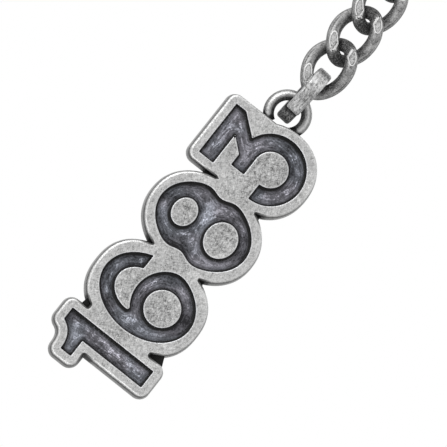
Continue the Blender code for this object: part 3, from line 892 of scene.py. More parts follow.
@dataclass
class Figures:
    """Outlines of the four sunken figures."""

    stroke: float = 2.70 * MM
    cap_line: float = 7.80 * MM
    base_line: float = 7.50 * MM
    one_stem: float = 3.00 * MM
    one_top: float = 2.10 * MM
    one_reach: float = 2.85 * MM
    one_flag: float = 1.90 * MM
    one_drop: float = 4.20 * MM
    round_width: float = 11.85 * MM
    round_height: float = 15.80 * MM
    counter_step: float = 6.0
    six_bowl: Ellipse = ((0.45 * MM, 3.00 * MM), 5.32 * MM, 5.32 * MM)
    six_tail: Ellipse = ((0.0, -1.50 * MM), 3.30 * MM, 4.05 * MM)
    six_counter: Ellipse = ((0.0, 2.78 * MM), 2.85 * MM, 2.85 * MM)
    six_terminal: float = 3.15 * MM
    six_lead: float = 1.80 * MM
    # Degrees by which the bowl and the tail stop short of the sharp tip between them
    six_tip: tuple[float, float] = (5.0, 7.0)
    waist_depth: float = 0.95 * MM
    waist_above: float = 0.45 * MM
    waist_reach: float = 1.75 * MM
    eight_counters: tuple[Ellipse, ...] = (((0.0, -3.60 * MM), 2.25 * MM, 1.95 * MM),
                                           ((0.0, 3.30 * MM), 2.85 * MM, 2.55 * MM))
    three_bowl: float = 5.45 * MM
    three_drop: float = 2.62 * MM
    three_bar_left: float = 4.54 * MM
    three_bar_right: float = 4.65 * MM
    three_bar_end: float = 1.80 * MM
    three_shoulder: float = 2.00 * MM
    three_arm: float = 2.40 * MM
    three_arm_left: float = 3.05 * MM
    three_arm_right: float = 1.10 * MM
    three_slope_foot: float = 0.85 * MM
    three_inset: float = 0.30 * MM

    def one(self) -> list[Outline]:
        """Outline of the one.

        Returns:
            The outline alone.
        """
        half, top = self.one_stem / 2.0, -self.cap_line
        flag_base = top + self.one_drop
        flag_top = flag_base - self.one_flag
        start, end = Vector((half - self.one_top, top)), Vector((-half - self.one_reach, flag_top))
        bend = Vector((-half, flag_top))
        sweep = [bent(start, bend, end, index / 14.0) for index in range(14, 0, -1)]
        return [[(half, self.base_line), (-half, self.base_line), (-half, flag_base),
                 (-half - self.one_reach, flag_base), *sweep, tuple(start), (half, top)]]

    def six(self) -> list[Outline]:
        """Outline of the six and of its counter.

        Returns:
            The outline, then its counter.
        """
        whole = ((0.0, 0.0), self.round_width / 2.0, self.round_height / 2.0)
        bowl, tail = self.six_bowl, self.six_tail
        bowl_cut, tail_cut = self.six_tip
        terminal_turn = math.degrees(math.asin(self.six_terminal / whole[2]))
        tail_turn = math.degrees(math.asin((self.six_terminal + tail[0][1]) / tail[2]))
        meets_whole = self.crossing(bowl, whole, -60.0, 10.0)
        meets_tail = self.crossing(bowl, tail, -90.0, -179.0)
        outline = led_into(arc(*whole, -terminal_turn, self.turn_on(whole, bowl, meets_whole) - 360.0),
                           arc(*bowl, meets_whole, meets_tail + bowl_cut)[1:], self.six_lead)
        outline += arc(*tail, self.turn_on(tail, bowl, meets_tail) % 360.0 + tail_cut, 360.0 - tail_turn)
        return [outline, oval(*self.six_counter, self.counter_step)]

    def eight(self) -> list[Outline]:
        """Outline of the eight and of its counters.

        Returns:
            The outline, then its counters.
        """
        outline: Outline = []
        for along, across in oval((0.0, 0.0), self.round_width / 2.0, self.round_height / 2.0, 2.0):
            reach = (across + self.waist_above) / self.waist_reach
            pinch = math.copysign(self.waist_depth * math.exp(-reach * reach), along)
            outline.append((along - pinch, across))
        return [outline, *(oval(*counter, self.counter_step) for counter in self.eight_counters)]

    def three(self) -> list[Outline]:
        """Outline of the flat-topped three.

        Returns:
            The outline alone.
        """
        top = self.three_inset - self.cap_line
        bar_base = top + self.stroke
        inner = self.three_bowl - self.stroke
        centre = (0.0, self.three_drop)
        side_patina_and_shade = -math.degrees(math.acos(self.three_shoulder / self.three_bowl))
        arm_base = self.three_drop - inner
        arm_top = arm_base - self.three_arm
        outline = [(-self.three_bar_left, top), (self.three_bar_right, top),
                   (self.three_bar_right, top + self.three_bar_end)]
        outline += arc(centre, self.three_bowl, self.three_bowl, side_patina_and_shade, 180.0)
        outline += arc(centre, inner, inner, 180.0, -90.0, self.counter_step)
        outline += [(-self.three_arm_left, arm_base), (-self.three_arm_left, arm_top),
                    (-self.three_arm_right, arm_top), (self.three_slope_foot, bar_base),
                    (-self.three_bar_left, bar_base)]
        return [outline]

    @staticmethod
    def turn_on(own: Ellipse, other: Ellipse, turn: float) -> float:
        """Angle on one ellipse of the point that lies at an angle on another.

        Args:
            own: The ellipse whose angle is wanted.
            other: The ellipse that the point lies on.
            turn: The point's angle there, in degrees.

        Returns:
            The angle in degrees.
        """
        angle = math.radians(turn)
        along = other[0][0] + other[1] * math.cos(angle) - own[0][0]
        across = other[0][1] + other[2] * math.sin(angle) - own[0][1]
        return math.degrees(math.atan2(across / own[2], along / own[1]))

    @staticmethod
    def crossing(first: Ellipse, second: Ellipse, start: float, end: float) -> float:
        """Angle on the first ellipse where it crosses the second, found by halving.

        Args:
            first: The ellipse whose angle is wanted.
            second: The ellipse that it crosses.
            start: Angle on one side of the crossing, in degrees.
            end: Angle on the other side.

        Returns:
            The angle in degrees.
        """

        def outside(turn: float) -> bool:
            """Whether the point at an angle on the first lies outside the second.

            Args:
                turn: The angle in degrees.

            Returns:
                True where it lies outside.
            """
            angle = math.radians(turn)
            along = (first[0][0] + first[1] * math.cos(angle) - second[0][0]) / second[1]
            across = (first[0][1] + first[2] * math.sin(angle) - second[0][1]) / second[2]
            return along * along + across * across > 1.0

        began_outside = outside(start)
        for _ in range(40):
            middle = (start + end) / 2.0
            if outside(middle) == began_outside:
                start = middle
            else:
                end = middle
        return (start + end) / 2.0


@dataclass
class FobCasting:
    """Cast fob with four sunken figures and an eye."""

    mark_names: ClassVar[tuple[str, ...]] = ("recess", "edge", "patina_and_shade", "wall", "away")
    finish: bpy.types.Material
    figures: Figures = field(default_factory=Figures)
    thickness: float = 3.00 * MM
    border: float = 1.42 * MM
    lobe_power: tuple[float, float] = (2.40, 2.18)
    draft: float = 0.28 * MM
    edge: float = 0.38 * MM
    sunk: float = 0.90 * MM
    figure_gap: float = 1.62 * MM
    one_gap: float = 2.20 * MM
    one_web_halves: tuple[float, float] = (6.05 * MM, 5.60 * MM)
    eye_wire: float = 1.68 * MM
    eye_hole: float = 4.10 * MM
    eye_offset: float = 0.52 * MM
    eye_stand: float = 1.60 * MM
    eye_half_turn: float = 150.0
    eye_sides: int = 28
    eye_steps: int = 84
    ring_edge: float = 1.05 * MM
    eye_height: float = -62.995 * MM
    outline_ease: float = 0.22 * MM
    outline_sharp: float = 20.0
    outline_step: float = 0.50 * MM
    figure_ease: float = 0.16 * MM
    figure_step: float = 0.45 * MM
    # How far inside an edge the face's own marks end and the edge's begin
    face_lines: tuple[float, float] = (0.16 * MM, 0.05 * MM)
    sunk_lines: tuple[float, float] = (0.15 * MM, 0.05 * MM)
    back_line: float = 0.30 * MM
    sunk_rim: float = 0.10 * MM
    sunk_foot: float = 0.13 * MM
    # Turn in degrees and painted highlight, with wear, round the face's edge
    edge_highlight_marks: tuple[tuple[float, float], ...] = ((0.0, 0.30), (18.0, 0.68), (36.0, 0.75), (54.0, 0.45),
                                                   (72.0, 0.15), (90.0, 0.0))
    # Share of the way down, darkness from patina and painted shade, and painted highlight of the outer wall
    wall_marks: tuple[tuple[float, float, float], ...] = ((0.12, 0.54, 0.0), (0.35, 0.40, 0.0),
                                                          (0.65, 0.20, 0.1), (0.9, 0.10, 0.3))
    # Turn in degrees, painted highlight with wear, and darkness from patina and painted shadow round a
    # recess's rim
    rim_highlight_and_dark_marks: tuple[tuple[float, float, float], ...] = ((0.0, 0.62, 0.0), (30.0, 0.80, 0.0),
                                                         (60.0, 0.45, 0.20), (90.0, 0.0, 0.85))
    floor_cell: float = 0.30 * MM
    face_cell: float = 0.75 * MM
    face_middle: float = 4.00 * MM
    shade_reach: float = 0.34 * MM
    chain_side_shadow_reach: float = 0.30 * MM
    floor_shade: float = 0.76
    middle: float = 1.20 * MM
    web_reach: float = 1.10 * MM
    three_web_reach: float = 2.20 * MM
    one_web_ends: tuple[float, ...] = (8.25 * MM, 7.35 * MM, 7.25 * MM, 6.90 * MM)
    web_top: float = -0.45 * MM
    web_depth: float = 0.55
    web_root: float = 0.80 * MM
    web_root_half: float = 0.40 * MM
    web_overlap: float = 0.22 * MM
    web_dip: float = 0.25 * MM
    web_lobe_sink: float = 0.25 * MM
    web_plate_sinks: tuple[float, float] = (0.50 * MM, 0.30 * MM)
    # Turn in degrees from which a corner is a notch, and half of the widest angle that gets a web
    deep_notch: float = 48.0
    narrow_notch: float = 30.0
    notch_shade: float = 1.60 * MM
    foot_shade: float = 0.75 * MM

    def places(self) -> list[float]:
        """Height of each figure's centre, first to last.

        Returns:
            Heights of the one, the six, the eight and the three.
        """
        figures = self.figures
        bowl = figures.three_bowl + self.border + self.draft
        wall = math.sqrt(bowl ** 2 - (figures.three_drop + self.eye_offset - self.ring_edge) ** 2)
        three = self.eye_height - self.eye_stand - wall
        eight = three - figures.three_bowl - self.figure_gap - figures.round_width / 2.0
        six = eight - figures.round_width - self.figure_gap
        one = six - figures.round_width / 2.0 - self.one_gap - figures.one_stem / 2.0
        return [one, six, eight, three]

    def silhouette(self) -> Outline:
        """Outline of the four lobes together, found by joining plates.

        Returns:
            The outline in (along, across).
        """
        figures = self.figures
        one, six, eight, three = self.places()
        sizes = (figures.round_width / 2.0 + self.border, figures.round_height / 2.0 + self.border)
        lobes = [fuller((0.0, 0.0), *sizes, power) for power in self.lobe_power]
        half = (six - one) / 2.0
        left, right = self.one_web_halves
        top = figures.three_inset - figures.cap_line
        bar = [(-figures.three_bar_left, top), (figures.three_bar_right, top), (figures.three_bar_right, 0.0),
               (-figures.three_bar_left, 0.0)]
        centre, reach = (0.0, figures.three_drop), figures.three_bowl + self.border
        bowl = fuller(centre, reach, reach, self.lobe_power[1])
        shapes = [shifted(grown(figures.one()[0], self.border), one),
                  [(one, -left), (one + 2.0 * half, -left), (one + 2.0 * half, right), (one, right)],
                  shifted(lobes[0], six), shifted(lobes[1], eight),
                  shifted(grown(bar, self.border), three), shifted(bowl, three)]
        plates = []
        for number, shape in enumerate(shapes):
            bm = bmesh.new()
            slab(bm, shape, 0.0, self.thickness)
            plates.append(meshed(f"plate_{number}", bm))
        for plate in plates[1:]:
            union = plates[0].modifiers.new("Union", "BOOLEAN")
            union.operation = "UNION"
            union.object = plate
        bpy.context.view_layer.update()
        joined = plates[0].evaluated_get(bpy.context.evaluated_depsgraph_get()).to_mesh()
        bm = bmesh.new()
        bm.from_mesh(joined)
        for plate in plates:
            bpy.data.objects.remove(plate, do_unlink=True)
        bmesh.ops.dissolve_limit(bm, angle_limit=math.radians(0.2), verts=bm.verts, edges=bm.edges)
        face = max((item for item in bm.faces if item.normal.y < -0.9), key=lambda item: item.calc_area())
        outline = [(vert.co.z, vert.co.x) for vert in face.verts]
        bm.free()
        near = 0.04 * MM
        return [point for index, point in enumerate(outline)
                if math.dist(point, outline[index - 1]) > near]

    def rim_profile(self) -> list[Ring]:
        """Section of the outer wall, from the face round to the back.

        Returns:
            The rings from front to back.
        """
        front, back = -self.thickness / 2.0, self.thickness / 2.0
        radius = self.edge
        outer_line, inner_line = self.face_lines
        profile = [(-radius - outer_line, front, {}), (-radius - inner_line, front, {"edge": 0.10})]
        for turn, shine in self.edge_highlight_marks:
            angle = math.radians(turn)
            profile.append((radius * (math.sin(angle) - 1.0), front + radius * (1.0 - math.cos(angle)),
                            {"edge": shine, "wall": min(1.0, turn / 60.0),
                             "patina_and_shade": 0.52 * (turn / 90.0) ** 2}))
        for share, dark, shine in self.wall_marks:
            profile.append((self.draft * share, front + radius + (self.thickness - 2.0 * radius) * share,
                            {"wall": 1.0, "patina_and_shade": dark, "edge": shine}))
        # Painted highlight round the back edge
        for turn in (0.0, 30.0, 60.0, 90.0):
            angle = math.radians(turn)
            profile.append((self.draft - radius * (1.0 - math.cos(angle)),
                            back - radius * (1.0 - math.sin(angle)),
                            {"wall": 1.0 - turn / 200.0, "edge": 0.35 + 0.4 * math.sin(2.0 * angle)}))
        profile.append((self.draft - radius - self.back_line, back, {"wall": 0.35}))
        return profile

    def sunk_profile(self) -> list[Ring]:
        """Section of a recess wall, from the face down to the floor; offsets point into the recess.

        Returns:
            The rings from top to bottom.
        """
        front = -self.thickness / 2.0
        floor = front + self.sunk
        rim, foot = self.sunk_rim, self.sunk_foot
        outer_line, inner_line = self.sunk_lines
        profile = [(-rim - outer_line, front, {}), (-rim - inner_line, front, {"edge": 0.22})]
        for turn, shine, dark in self.rim_highlight_and_dark_marks:
            angle = math.radians(turn)
            profile.append((rim * (math.sin(angle) - 1.0), front + rim * (1.0 - math.cos(angle)),
                            {"edge": shine, "recess": turn / 90.0, "patina_and_shade": dark}))
        # The recess walls are marked fully dark: patina, with painted shadow
        profile.append((0.02 * MM, front + self.sunk * 0.5, {"recess": 1.0, "patina_and_shade": 1.0}))
        for turn in (0.0, 30.0, 60.0, 90.0):
            angle = math.radians(turn)
            profile.append((0.03 * MM + foot * (1.0 - math.cos(angle)),
                            floor - foot * (1.0 - math.sin(angle)),
                            {"recess": 1.0, "patina_and_shade": 1.0}))
        return profile

    def build(self) -> bpy.types.Object:
        """Model the casting.

        Returns:
            The fob's piece.
        """
        bm, marks = marked(self.mark_names)
        outline = self.silhouette()
        silhouette = divided(softened(outline, self.outline_ease, self.outline_sharp), self.outline_step)
        face_edges, back_edges = Moulding(bm, marks, Side.INSIDE).run(silhouette, self.rim_profile())
        around = spot_tree(Vector((across, 0.0, along)) for along, across in silhouette)
        notches = self.notches(outline)
        self.paint_notch_shade(bm, marks, notches)
        filled(bm, back_edges)
        figures = self.figures
        shapes = [figures.one(), figures.six(), figures.eight(), figures.three()]
        for place, shape in zip(self.places(), shapes):
            floor_edges: list[Edge] = []
            for number, figure in enumerate(shape):
                ring = divided(softened(shifted(figure, place), self.figure_ease), self.figure_step)
                side = Side.OUTSIDE if number == 0 else Side.INSIDE
                top, floor = Moulding(bm, marks, side).run(ring, self.sunk_profile())
                floor_edges += floor
                if number == 0:
                    face_edges += top
                else:
                    self.lay_face(bm, marks, top, around)
            self.lay_floor(bm, marks, floor_edges)
        self.lay_face(bm, marks, face_edges, around)
        self.add_webs(bm, marks, notches)
        self.add_eye(bm, marks, around)
        return new_piece("fob_casting", bm, self.finish, 40.0)

    def notches(self, outline: Outline) -> list[Notch]:
        """Find the deep notches between the lobes.

        Args:
            outline: The casting's outline.

        Returns:
            Each notch's corner, the direction out of it, half of its angle in degrees and its web's reach.
        """
        sign = 1.0 if enclosed(outline) > 0.0 else -1.0
        found = []
        for index in range(len(outline)):
            before, here, after = neighbours(outline, index)
            turn = corner_turn(here - before, after - here) * sign
            if turn < -self.deep_notch:
                out = ((before - here).normalized() + (after - here).normalized()).normalized()
                found.append((here, out, (180.0 + turn) / 2.0))
        by_three = max(found, key=lambda notch: notch[0].x - notch[0].y)
        return [(*notch, self.three_web_reach if notch is by_three else self.web_reach) for notch in found]

    def paint_notch_shade(self, bm: Mesh, marks: Marks, notches: Sequence[Notch]) -> None:
        """Paint shade on the outer wall near each notch, and take away its painted highlight there.

        Args:
            bm: The casting.
            marks: Its marks.
            notches: The notches.
        """
        for vert in bm.verts:
            if vert[marks["wall"]] < 0.3 or vert.co.y > self.thickness * 0.4:
                continue
            spot = Vector((vert.co.z, vert.co.x))
            shade = max(max(0.0, 1.0 - (spot - corner).length / (self.notch_shade + 0.85 * reach))
                        for corner, _, _, reach in notches)
            vert[marks["patina_and_shade"]] = max(vert[marks["patina_and_shade"]], min(1.0, 1.3 * shade))
            vert[marks["edge"]] *= 1.0 - shade

    def add_webs(self, bm: Mesh, marks: Marks, notches: Sequence[Notch]) -> None:
        """Close each notch part of the way out with a low web at the back, marked black as patina and painted
        shade.

        Args:
            bm: The casting.
            marks: Its marks.
            notches: The notches' corners, directions, half angles and reaches.
        """
        sheets = []
        for corner, out, half_angle, reach in notches:
            if half_angle < self.narrow_notch:
                side = Vector((-out.y, out.x))
                half = reach * math.tan(math.radians(half_angle)) + self.web_overlap
                far = corner + out * reach
                root = corner - out * self.web_root
                sheets.append([root - side * self.web_root_half, root + side * self.web_root_half,
                               far + side * half, far - out * self.web_dip, far - side * half])
        one, six = self.places()[:2]
        half_along = self.figures.round_width / 2.0 + self.border
        half_across = self.figures.round_height / 2.0 + self.border
        power = self.lobe_power[0]
        plate = one + self.figures.one_stem / 2.0 + self.border
        for sign, start, plate_end, lobe_end in ((1.0, self.one_web_halves[1], *self.one_web_ends[:2]),
                                                 (-1.0, self.one_web_halves[0], *self.one_web_ends[2:])):
            near = start - self.web_root
            met = []
            for across in (near, (near + lobe_end) / 2.0, lobe_end):
                bulge = half_along * (1.0 - (across / half_across) ** power) ** (1.0 / power)
                met.append((six + self.web_lobe_sink - bulge, across * sign))
            sheets.append([(plate - self.web_plate_sinks[0], near * sign), *met,
                           (plate - self.web_plate_sinks[1], plate_end * sign)])
        for spots in sheets:
            for vert in slab(bm, spots, self.web_top, self.thickness * self.web_depth):
                vert[marks["patina_and_shade"]] = 1.0
                vert[marks["wall"]] = 1.0

    @staticmethod
    def lay_flat(bm: Mesh, edges: Sequence[Edge], cell: float) -> set[Vert]:
        """Fill a flat part between its outlines and cut it into small cells, to carry marks.

        Args:
            bm: The casting.
            edges: The part's outer and inner outlines.
            cell: Size of a cell.

        Returns:
            The corners of the part's faces.
        """
        rim = {vert for edge in edges for vert in edge.verts}
        faces = filled(bm, edges)
        for axis in (Vector((1.0, 0.0, 0.0)), Vector((0.0, 0.0, 1.0))):
            reach = [vert.co.dot(axis) for vert in rim]
            for number in range(1, int((max(reach) - min(reach)) / cell) + 1):
                inner = once(item for face in faces for item in (*face.verts, *face.edges, face))
                cut = bmesh.ops.bisect_plane(bm, geom=inner, plane_no=axis, dist=0.001 * MM,
                                             plane_co=axis * (min(reach) + number * cell))
                faces = [item for item in cut["geom"] if isinstance(item, Face)]
        return {vert for face in faces for vert in face.verts}

    def lay_floor(self, bm: Mesh, marks: Marks, edges: Sequence[Edge]) -> None:
        """Lay a recess floor and mark how far each corner lies from a wall.

        Args:
            bm: The casting.
            marks: Its marks.
            edges: The feet of the recess's walls.
        """
        tree = spot_tree(vert.co for vert in once(vert for edge in edges for vert in edge.verts))
        for vert in self.lay_flat(bm, edges, self.floor_cell):
            nearest, _, distance = tree.find(vert.co)
            # The dark reaches farther from the walls on the side towards the chain, as painted shadow; near
            # every wall it also stands for patina
            towards_chain = max(0.0, (nearest.z - vert.co.z) / max(distance, 0.001 * MM))
            reach = self.shade_reach + self.chain_side_shadow_reach * towards_chain
            vert[marks["recess"]] = 1.0
            vert[marks["patina_and_shade"]] = self.floor_shade * max(0.0, 1.0 - distance / reach)
            vert[marks["away"]] = min(1.0, distance / self.middle)

    def lay_face(self, bm: Mesh, marks: Marks, edges: Sequence[Edge], silhouette: KDTree) -> None:
        """Lay part of the raised face and mark how far each corner lies from the casting's outline.

        Args:
            bm: The casting.
            marks: Its marks.
            edges: The part's outlines.
            silhouette: Places along the casting's outline.
        """
        for vert in self.lay_flat(bm, edges, self.face_cell):
            distance = silhouette.find((vert.co.x, 0.0, vert.co.z))[2]
            vert[marks["away"]] = min(1.0, max(0.0, distance / self.face_middle - 0.25))

    def add_eye(self, bm: Mesh, marks: Marks, silhouette: KDTree) -> None:
        """Add the eye, whose two feet end inside the casting.

        Args:
            bm: The casting.
            marks: Its marks.
            silhouette: Places along the casting's outline, to paint shade on the eye where it meets it.
        """
        centre = Vector((-self.eye_offset, 0.0, self.eye_height))
        radius = (self.eye_hole + self.eye_wire) / 2.0
        start, end = math.radians(-self.eye_half_turn), math.radians(self.eye_half_turn)
        top = centre + Vector((0.0, 0.0, radius))
        upright = Matrix.Translation(top) @ Matrix.Rotation(math.pi / 2.0, 4, "Y")
        ring = bmesh.ops.create_circle(bm, cap_ends=True, segments=self.eye_sides,
                                       radius=self.eye_wire / 2.0, matrix=upright)["verts"]
        turn = Matrix.Translation(centre) @ Matrix.Rotation(start, 4, "Y") @ Matrix.Translation(-centre)
        bmesh.ops.transform(bm, matrix=turn, verts=ring)
        before = set(bm.verts) - set(ring)
        cap = next(face for face in ring[0].link_faces)
        bmesh.ops.spin(bm, geom=[cap, *cap.edges, *cap.verts], cent=centre, axis=(0.0, 1.0, 0.0),
                       dvec=(0.0, 0.0, 0.0), angle=end - start, steps=self.eye_steps,
                       use_merge=False, use_duplicate=False)
        for vert in set(bm.verts) - before:
            off = math.hypot(vert.co.x - centre.x, vert.co.z - centre.z)
            inward = (radius - off) / (self.eye_wire / 2.0)
            distance = silhouette.find((vert.co.x, 0.0, vert.co.z))[2]
            foot = max(0.0, 1.0 - distance / self.foot_shade)
            # The wire's sides and inner half are marked dark for patina and painted shade, its feet get a
            # painted shadow, and a painted highlight runs along its front
            vert[marks["wall"]] = 0.60 + 0.40 * abs(inward + 0.2) ** 1.5
            vert[marks["patina_and_shade"]] = min(1.0, min(0.52, max(0.0, (inward + 0.02) * 1.1)) + foot * 0.9
                                        + max(0.0, -0.66 - inward) * 1.5)
            vert[marks["edge"]] = max(0.0, 0.90 - abs(inward + 0.30) * 2.7) * (1.0 - foot)


@dataclass
class Sweep:
    """Section carried along a path, each ring extruded from the last."""

    bm: Mesh

    def run(self, stations: Sequence[Station], section: Sequence[Point],
            closed: bool, dress: Callable[[Vert, int, int], None]) -> None:
        """Build the tube.

        Args:
            stations: Centre, first axis and second axis of the section at each place.
            section: The section's points on the two axes.
            closed: Whether the last place joins the first.
            dress: Called with each point, its place's number and its number in the section.
        """
        begun: list[Vert] = []
        verts: list[Vert] = []
        for number, (centre, first, second) in enumerate(stations):
            spots = [centre + first * a + second * b for a, b in section]
            verts = drawn(self.bm, verts, spots) if verts else started(self.bm, spots)
            begun = begun or verts
            for index, vert in enumerate(verts):
                dress(vert, number, index)
        if closed:
            bmesh.ops.bridge_loops(self.bm, edges=run_edges(begun) + run_edges(verts))
        else:
            for end in (begun, verts):
                bmesh.ops.contextual_create(self.bm, geom=end)


@dataclass
class CurbChain:
    """Twisted curb links."""

    mark_names: ClassVar[tuple[str, ...]] = ("inner", "flat", "rim", "side", "along")
    finish: bpy.types.Material
    count: int = 5
    wire: float = 2.00 * MM
    inner_length: float = 6.60 * MM
    inner_width: float = 3.80 * MM
    twist: float = 45.0
    fullness: float = 2.3
    flat_depth: float = 0.235 * MM
    flat_start: float = 1.4 * MM
    flat_lean: float = 5.0
    flat_line: float = 0.10 * MM
    flat_merge: float = 0.07 * MM
    # Flatness, painted highlight and darkness of the lines inside a flat's border, and of the flat itself
    flat_marks: tuple[tuple[float, float, float], ...] = ((0.75, 1.0, 0.0), (0.30, 0.0, 0.9), (1.0, 0.0, 0.0))
    touch_gap: float = 0.30 * MM
    top: float = -23.22 * MM
    stations: int = 110
    sides: int = 28

    def centreline(self) -> list[Station]:
        """Places round the link, with the axes of its round section: outwards, and across the loop.

        Returns:
            The places in order.
        """
        half_length = (self.inner_length + self.wire) / 2.0
        half_width = (self.inner_width + self.wire) / 2.0
        power = 2.0 / self.fullness
        spots = []
        for index in range(self.stations):
            turn = 2.0 * math.pi * (index + 0.5) / self.stations
            cosine, sine = math.cos(turn), math.sin(turn)
            share = math.copysign(abs(cosine) ** power, cosine)
            across = half_width * math.copysign(abs(sine) ** power, sine)
            twist = -math.radians(self.twist) * share
            spot = Vector((across * math.cos(twist), across * math.sin(twist), half_length * share))
            spots.append((spot, twist))
        result = []
        for index, (spot, twist) in enumerate(spots):
            tangent = (spots[(index + 1) % self.stations][0] - spots[index - 1][0]).normalized()
            plane = Vector((-math.sin(twist), math.cos(twist), 0.0))
            outward = tangent.cross(plane)
            if outward.dot(spot) < 0.0:
                outward.negate()
            outward = (outward - tangent * outward.dot(tangent)).normalized()
            side = tangent.cross(outward).normalized()
            result.append((spot, outward, side))
        return result

    def build(self) -> list[bpy.types.Object]:
        """Model every link.

        Returns:
            The links from the top down.
        """
        pitch = self.inner_length - self.touch_gap
        length = self.inner_length + 2.0 * self.wire
        first = self.top - length / 2.0
        return [self.link(number + 1, first - number * pitch) for number in range(self.count)]

    def link(self, number: int, height: float) -> bpy.types.Object:
        """One link, with its two sides ground flat.

        Args:
            number: Its number from the top.
            height: Height of its middle.

        Returns:
            The link's piece.
        """
        bm, marks = marked(self.mark_names)
        radius = self.wire / 2.0
        section = [(radius * math.cos(2.0 * math.pi * index / self.sides),
                    radius * math.sin(2.0 * math.pi * index / self.sides)) for index in range(self.sides)]
        stations = self.centreline()
        half_length = (self.inner_length + self.wire) / 2.0

        def dress(vert: Vert, place: int, index: int) -> None:
            """Mark how far a point faces into the loop and sideways, for patina and painted shade, and its
            place round the link.

            Args:
                vert: The point.
                place: Its place's number.
                index: Its number in the section.
            """
            spot = stations[place][0]
            facing = (1.0 - math.cos(2.0 * math.pi * index / self.sides)) / 2.0
            end = max(0.0, abs(spot.z) / half_length - 0.55) / 0.45
            normal = (vert.co - spot - Vector((0.0, 0.0, height))) / radius
            # Strength of the painted shade at the link's ends, where they pass through the neighbouring
            # links; weaker at the last link's free end
            hidden = 0.20 if number == self.count and spot.z < 0.0 else 0.80
            vert[marks["inner"]] = min(1.0, facing ** 1.5 * 0.92 + hidden * end ** 1.5)
            vert[marks["side"]] = 1.0 - abs(normal.y)
            vert[marks["along"]] = abs(place / self.stations - 0.5) * 2.0 * math.pi * half_length / MM

        middle = Vector((0.0, 0.0, height))
        Sweep(bm).run([(spot + middle, first, second) for spot, first, second in stations],
                      section, True, dress)
        lean = math.radians(self.flat_lean)
        for side, arm in ((-1.0, -1.0), (-1.0, 1.0), (1.0, -1.0), (1.0, 1.0)):
            facing = Vector((0.0, side * math.cos(lean), math.sin(lean)))
            faces = [face for face in bm.faces if face.calc_center_median().x * arm > self.flat_start]
            verts = once(vert for face in faces for vert in face.verts)
            edges = once(edge for face in faces for edge in face.edges)
            reach = max(facing.dot(vert.co - middle) for vert in verts) - self.flat_depth
            bmesh.ops.bisect_plane(bm, geom=[*verts, *edges, *faces], dist=0.0001 * MM,
                                   plane_co=middle + facing * reach, plane_no=facing, clear_outer=True)
            border = once(vert for edge in bm.edges if edge.is_boundary for vert in edge.verts)
            bmesh.ops.remove_doubles(bm, verts=border, dist=self.flat_merge)
            closed = bmesh.ops.holes_fill(bm, edges=[edge for edge in bm.edges if edge.is_boundary])
            for face in closed["faces"]:
                rim = list(face.verts)
                for vert in rim:
                    vert[marks["inner"]] = 0.0
                for flatness, shine, groove in self.flat_marks:
                    bmesh.ops.inset_individual(bm, faces=[face], thickness=self.flat_line, depth=0.0,
                                               use_even_offset=True)
                    for vert in face.verts:
                        vert[marks["flat"]] = flatness
                        vert[marks["rim"]] = shine
                        vert[marks["inner"]] = groove
                for vert in rim:
                    vert[marks["rim"]] = 0.9
                    vert[marks["flat"]] = 0.6
        item = new_piece(f"curb_link_{number}", bm, self.finish, 32.0)
        settle(item, f"chain_link_{number}", f"chain_link_{number}")
        return item


def strip_section(width: float, height: float, edge: float, inner_edge: float | None = None
                  ) -> tuple[list[Point], list[float], list[float]]:
    """Rounded rectangle, with marks for its corners and for its first axis' inner side.

    Args:
        width: Size on the first axis.
        height: Size on the second axis.
        edge: Corner radius on the first axis' outer side.
        inner_edge: Corner radius on its inner side, the same where none is given.

    Returns:
        The points, how much each lies on a corner, and how much each faces down the first axis.
    """
    points: list[Point] = []
    rounded: list[float] = []
    inner: list[float] = []
    half_width, half_height = width / 2.0, height / 2.0
    for x, y, start in ((half_width, half_height, 0.0), (-half_width, half_height, 90.0),
                        (-half_width, -half_height, 180.0), (half_width, -half_height, 270.0)):
        radius = edge if x > 0.0 or inner_edge is None else inner_edge
        centre_x, centre_y = x - math.copysign(radius, x), y - math.copysign(radius, y)
        for turn in (0.0, 18.0, 36.0, 54.0, 72.0, 90.0):
            angle = math.radians(start + turn)
            points.append((centre_x + radius * math.cos(angle), centre_y + radius * math.sin(angle)))
            rounded.append(math.sin(math.radians(turn * 2.0)))
            inner.append(max(0.0, -math.cos(angle)))
    return points, rounded, inner


def round_ring(placing: Matrix, angle: float, radius: float, height: float) -> Station:
    """Place round a ring, with its section's axes.

    Args:
        placing: Where the ring lies.
        angle: Angle round it.
        radius: Distance from its axis.
        height: Distance along its axis.

    Returns:
        The place, the direction outwards and the direction of the ring's axis.
    """
    radial, turning = Vector((math.cos(angle), math.sin(angle), 0.0)), placing.to_3x3()
    return (placing @ (radial * radius + Vector((0.0, 0.0, height))), turning @ radial,
            turning @ Vector((0.0, 0.0, 1.0)))


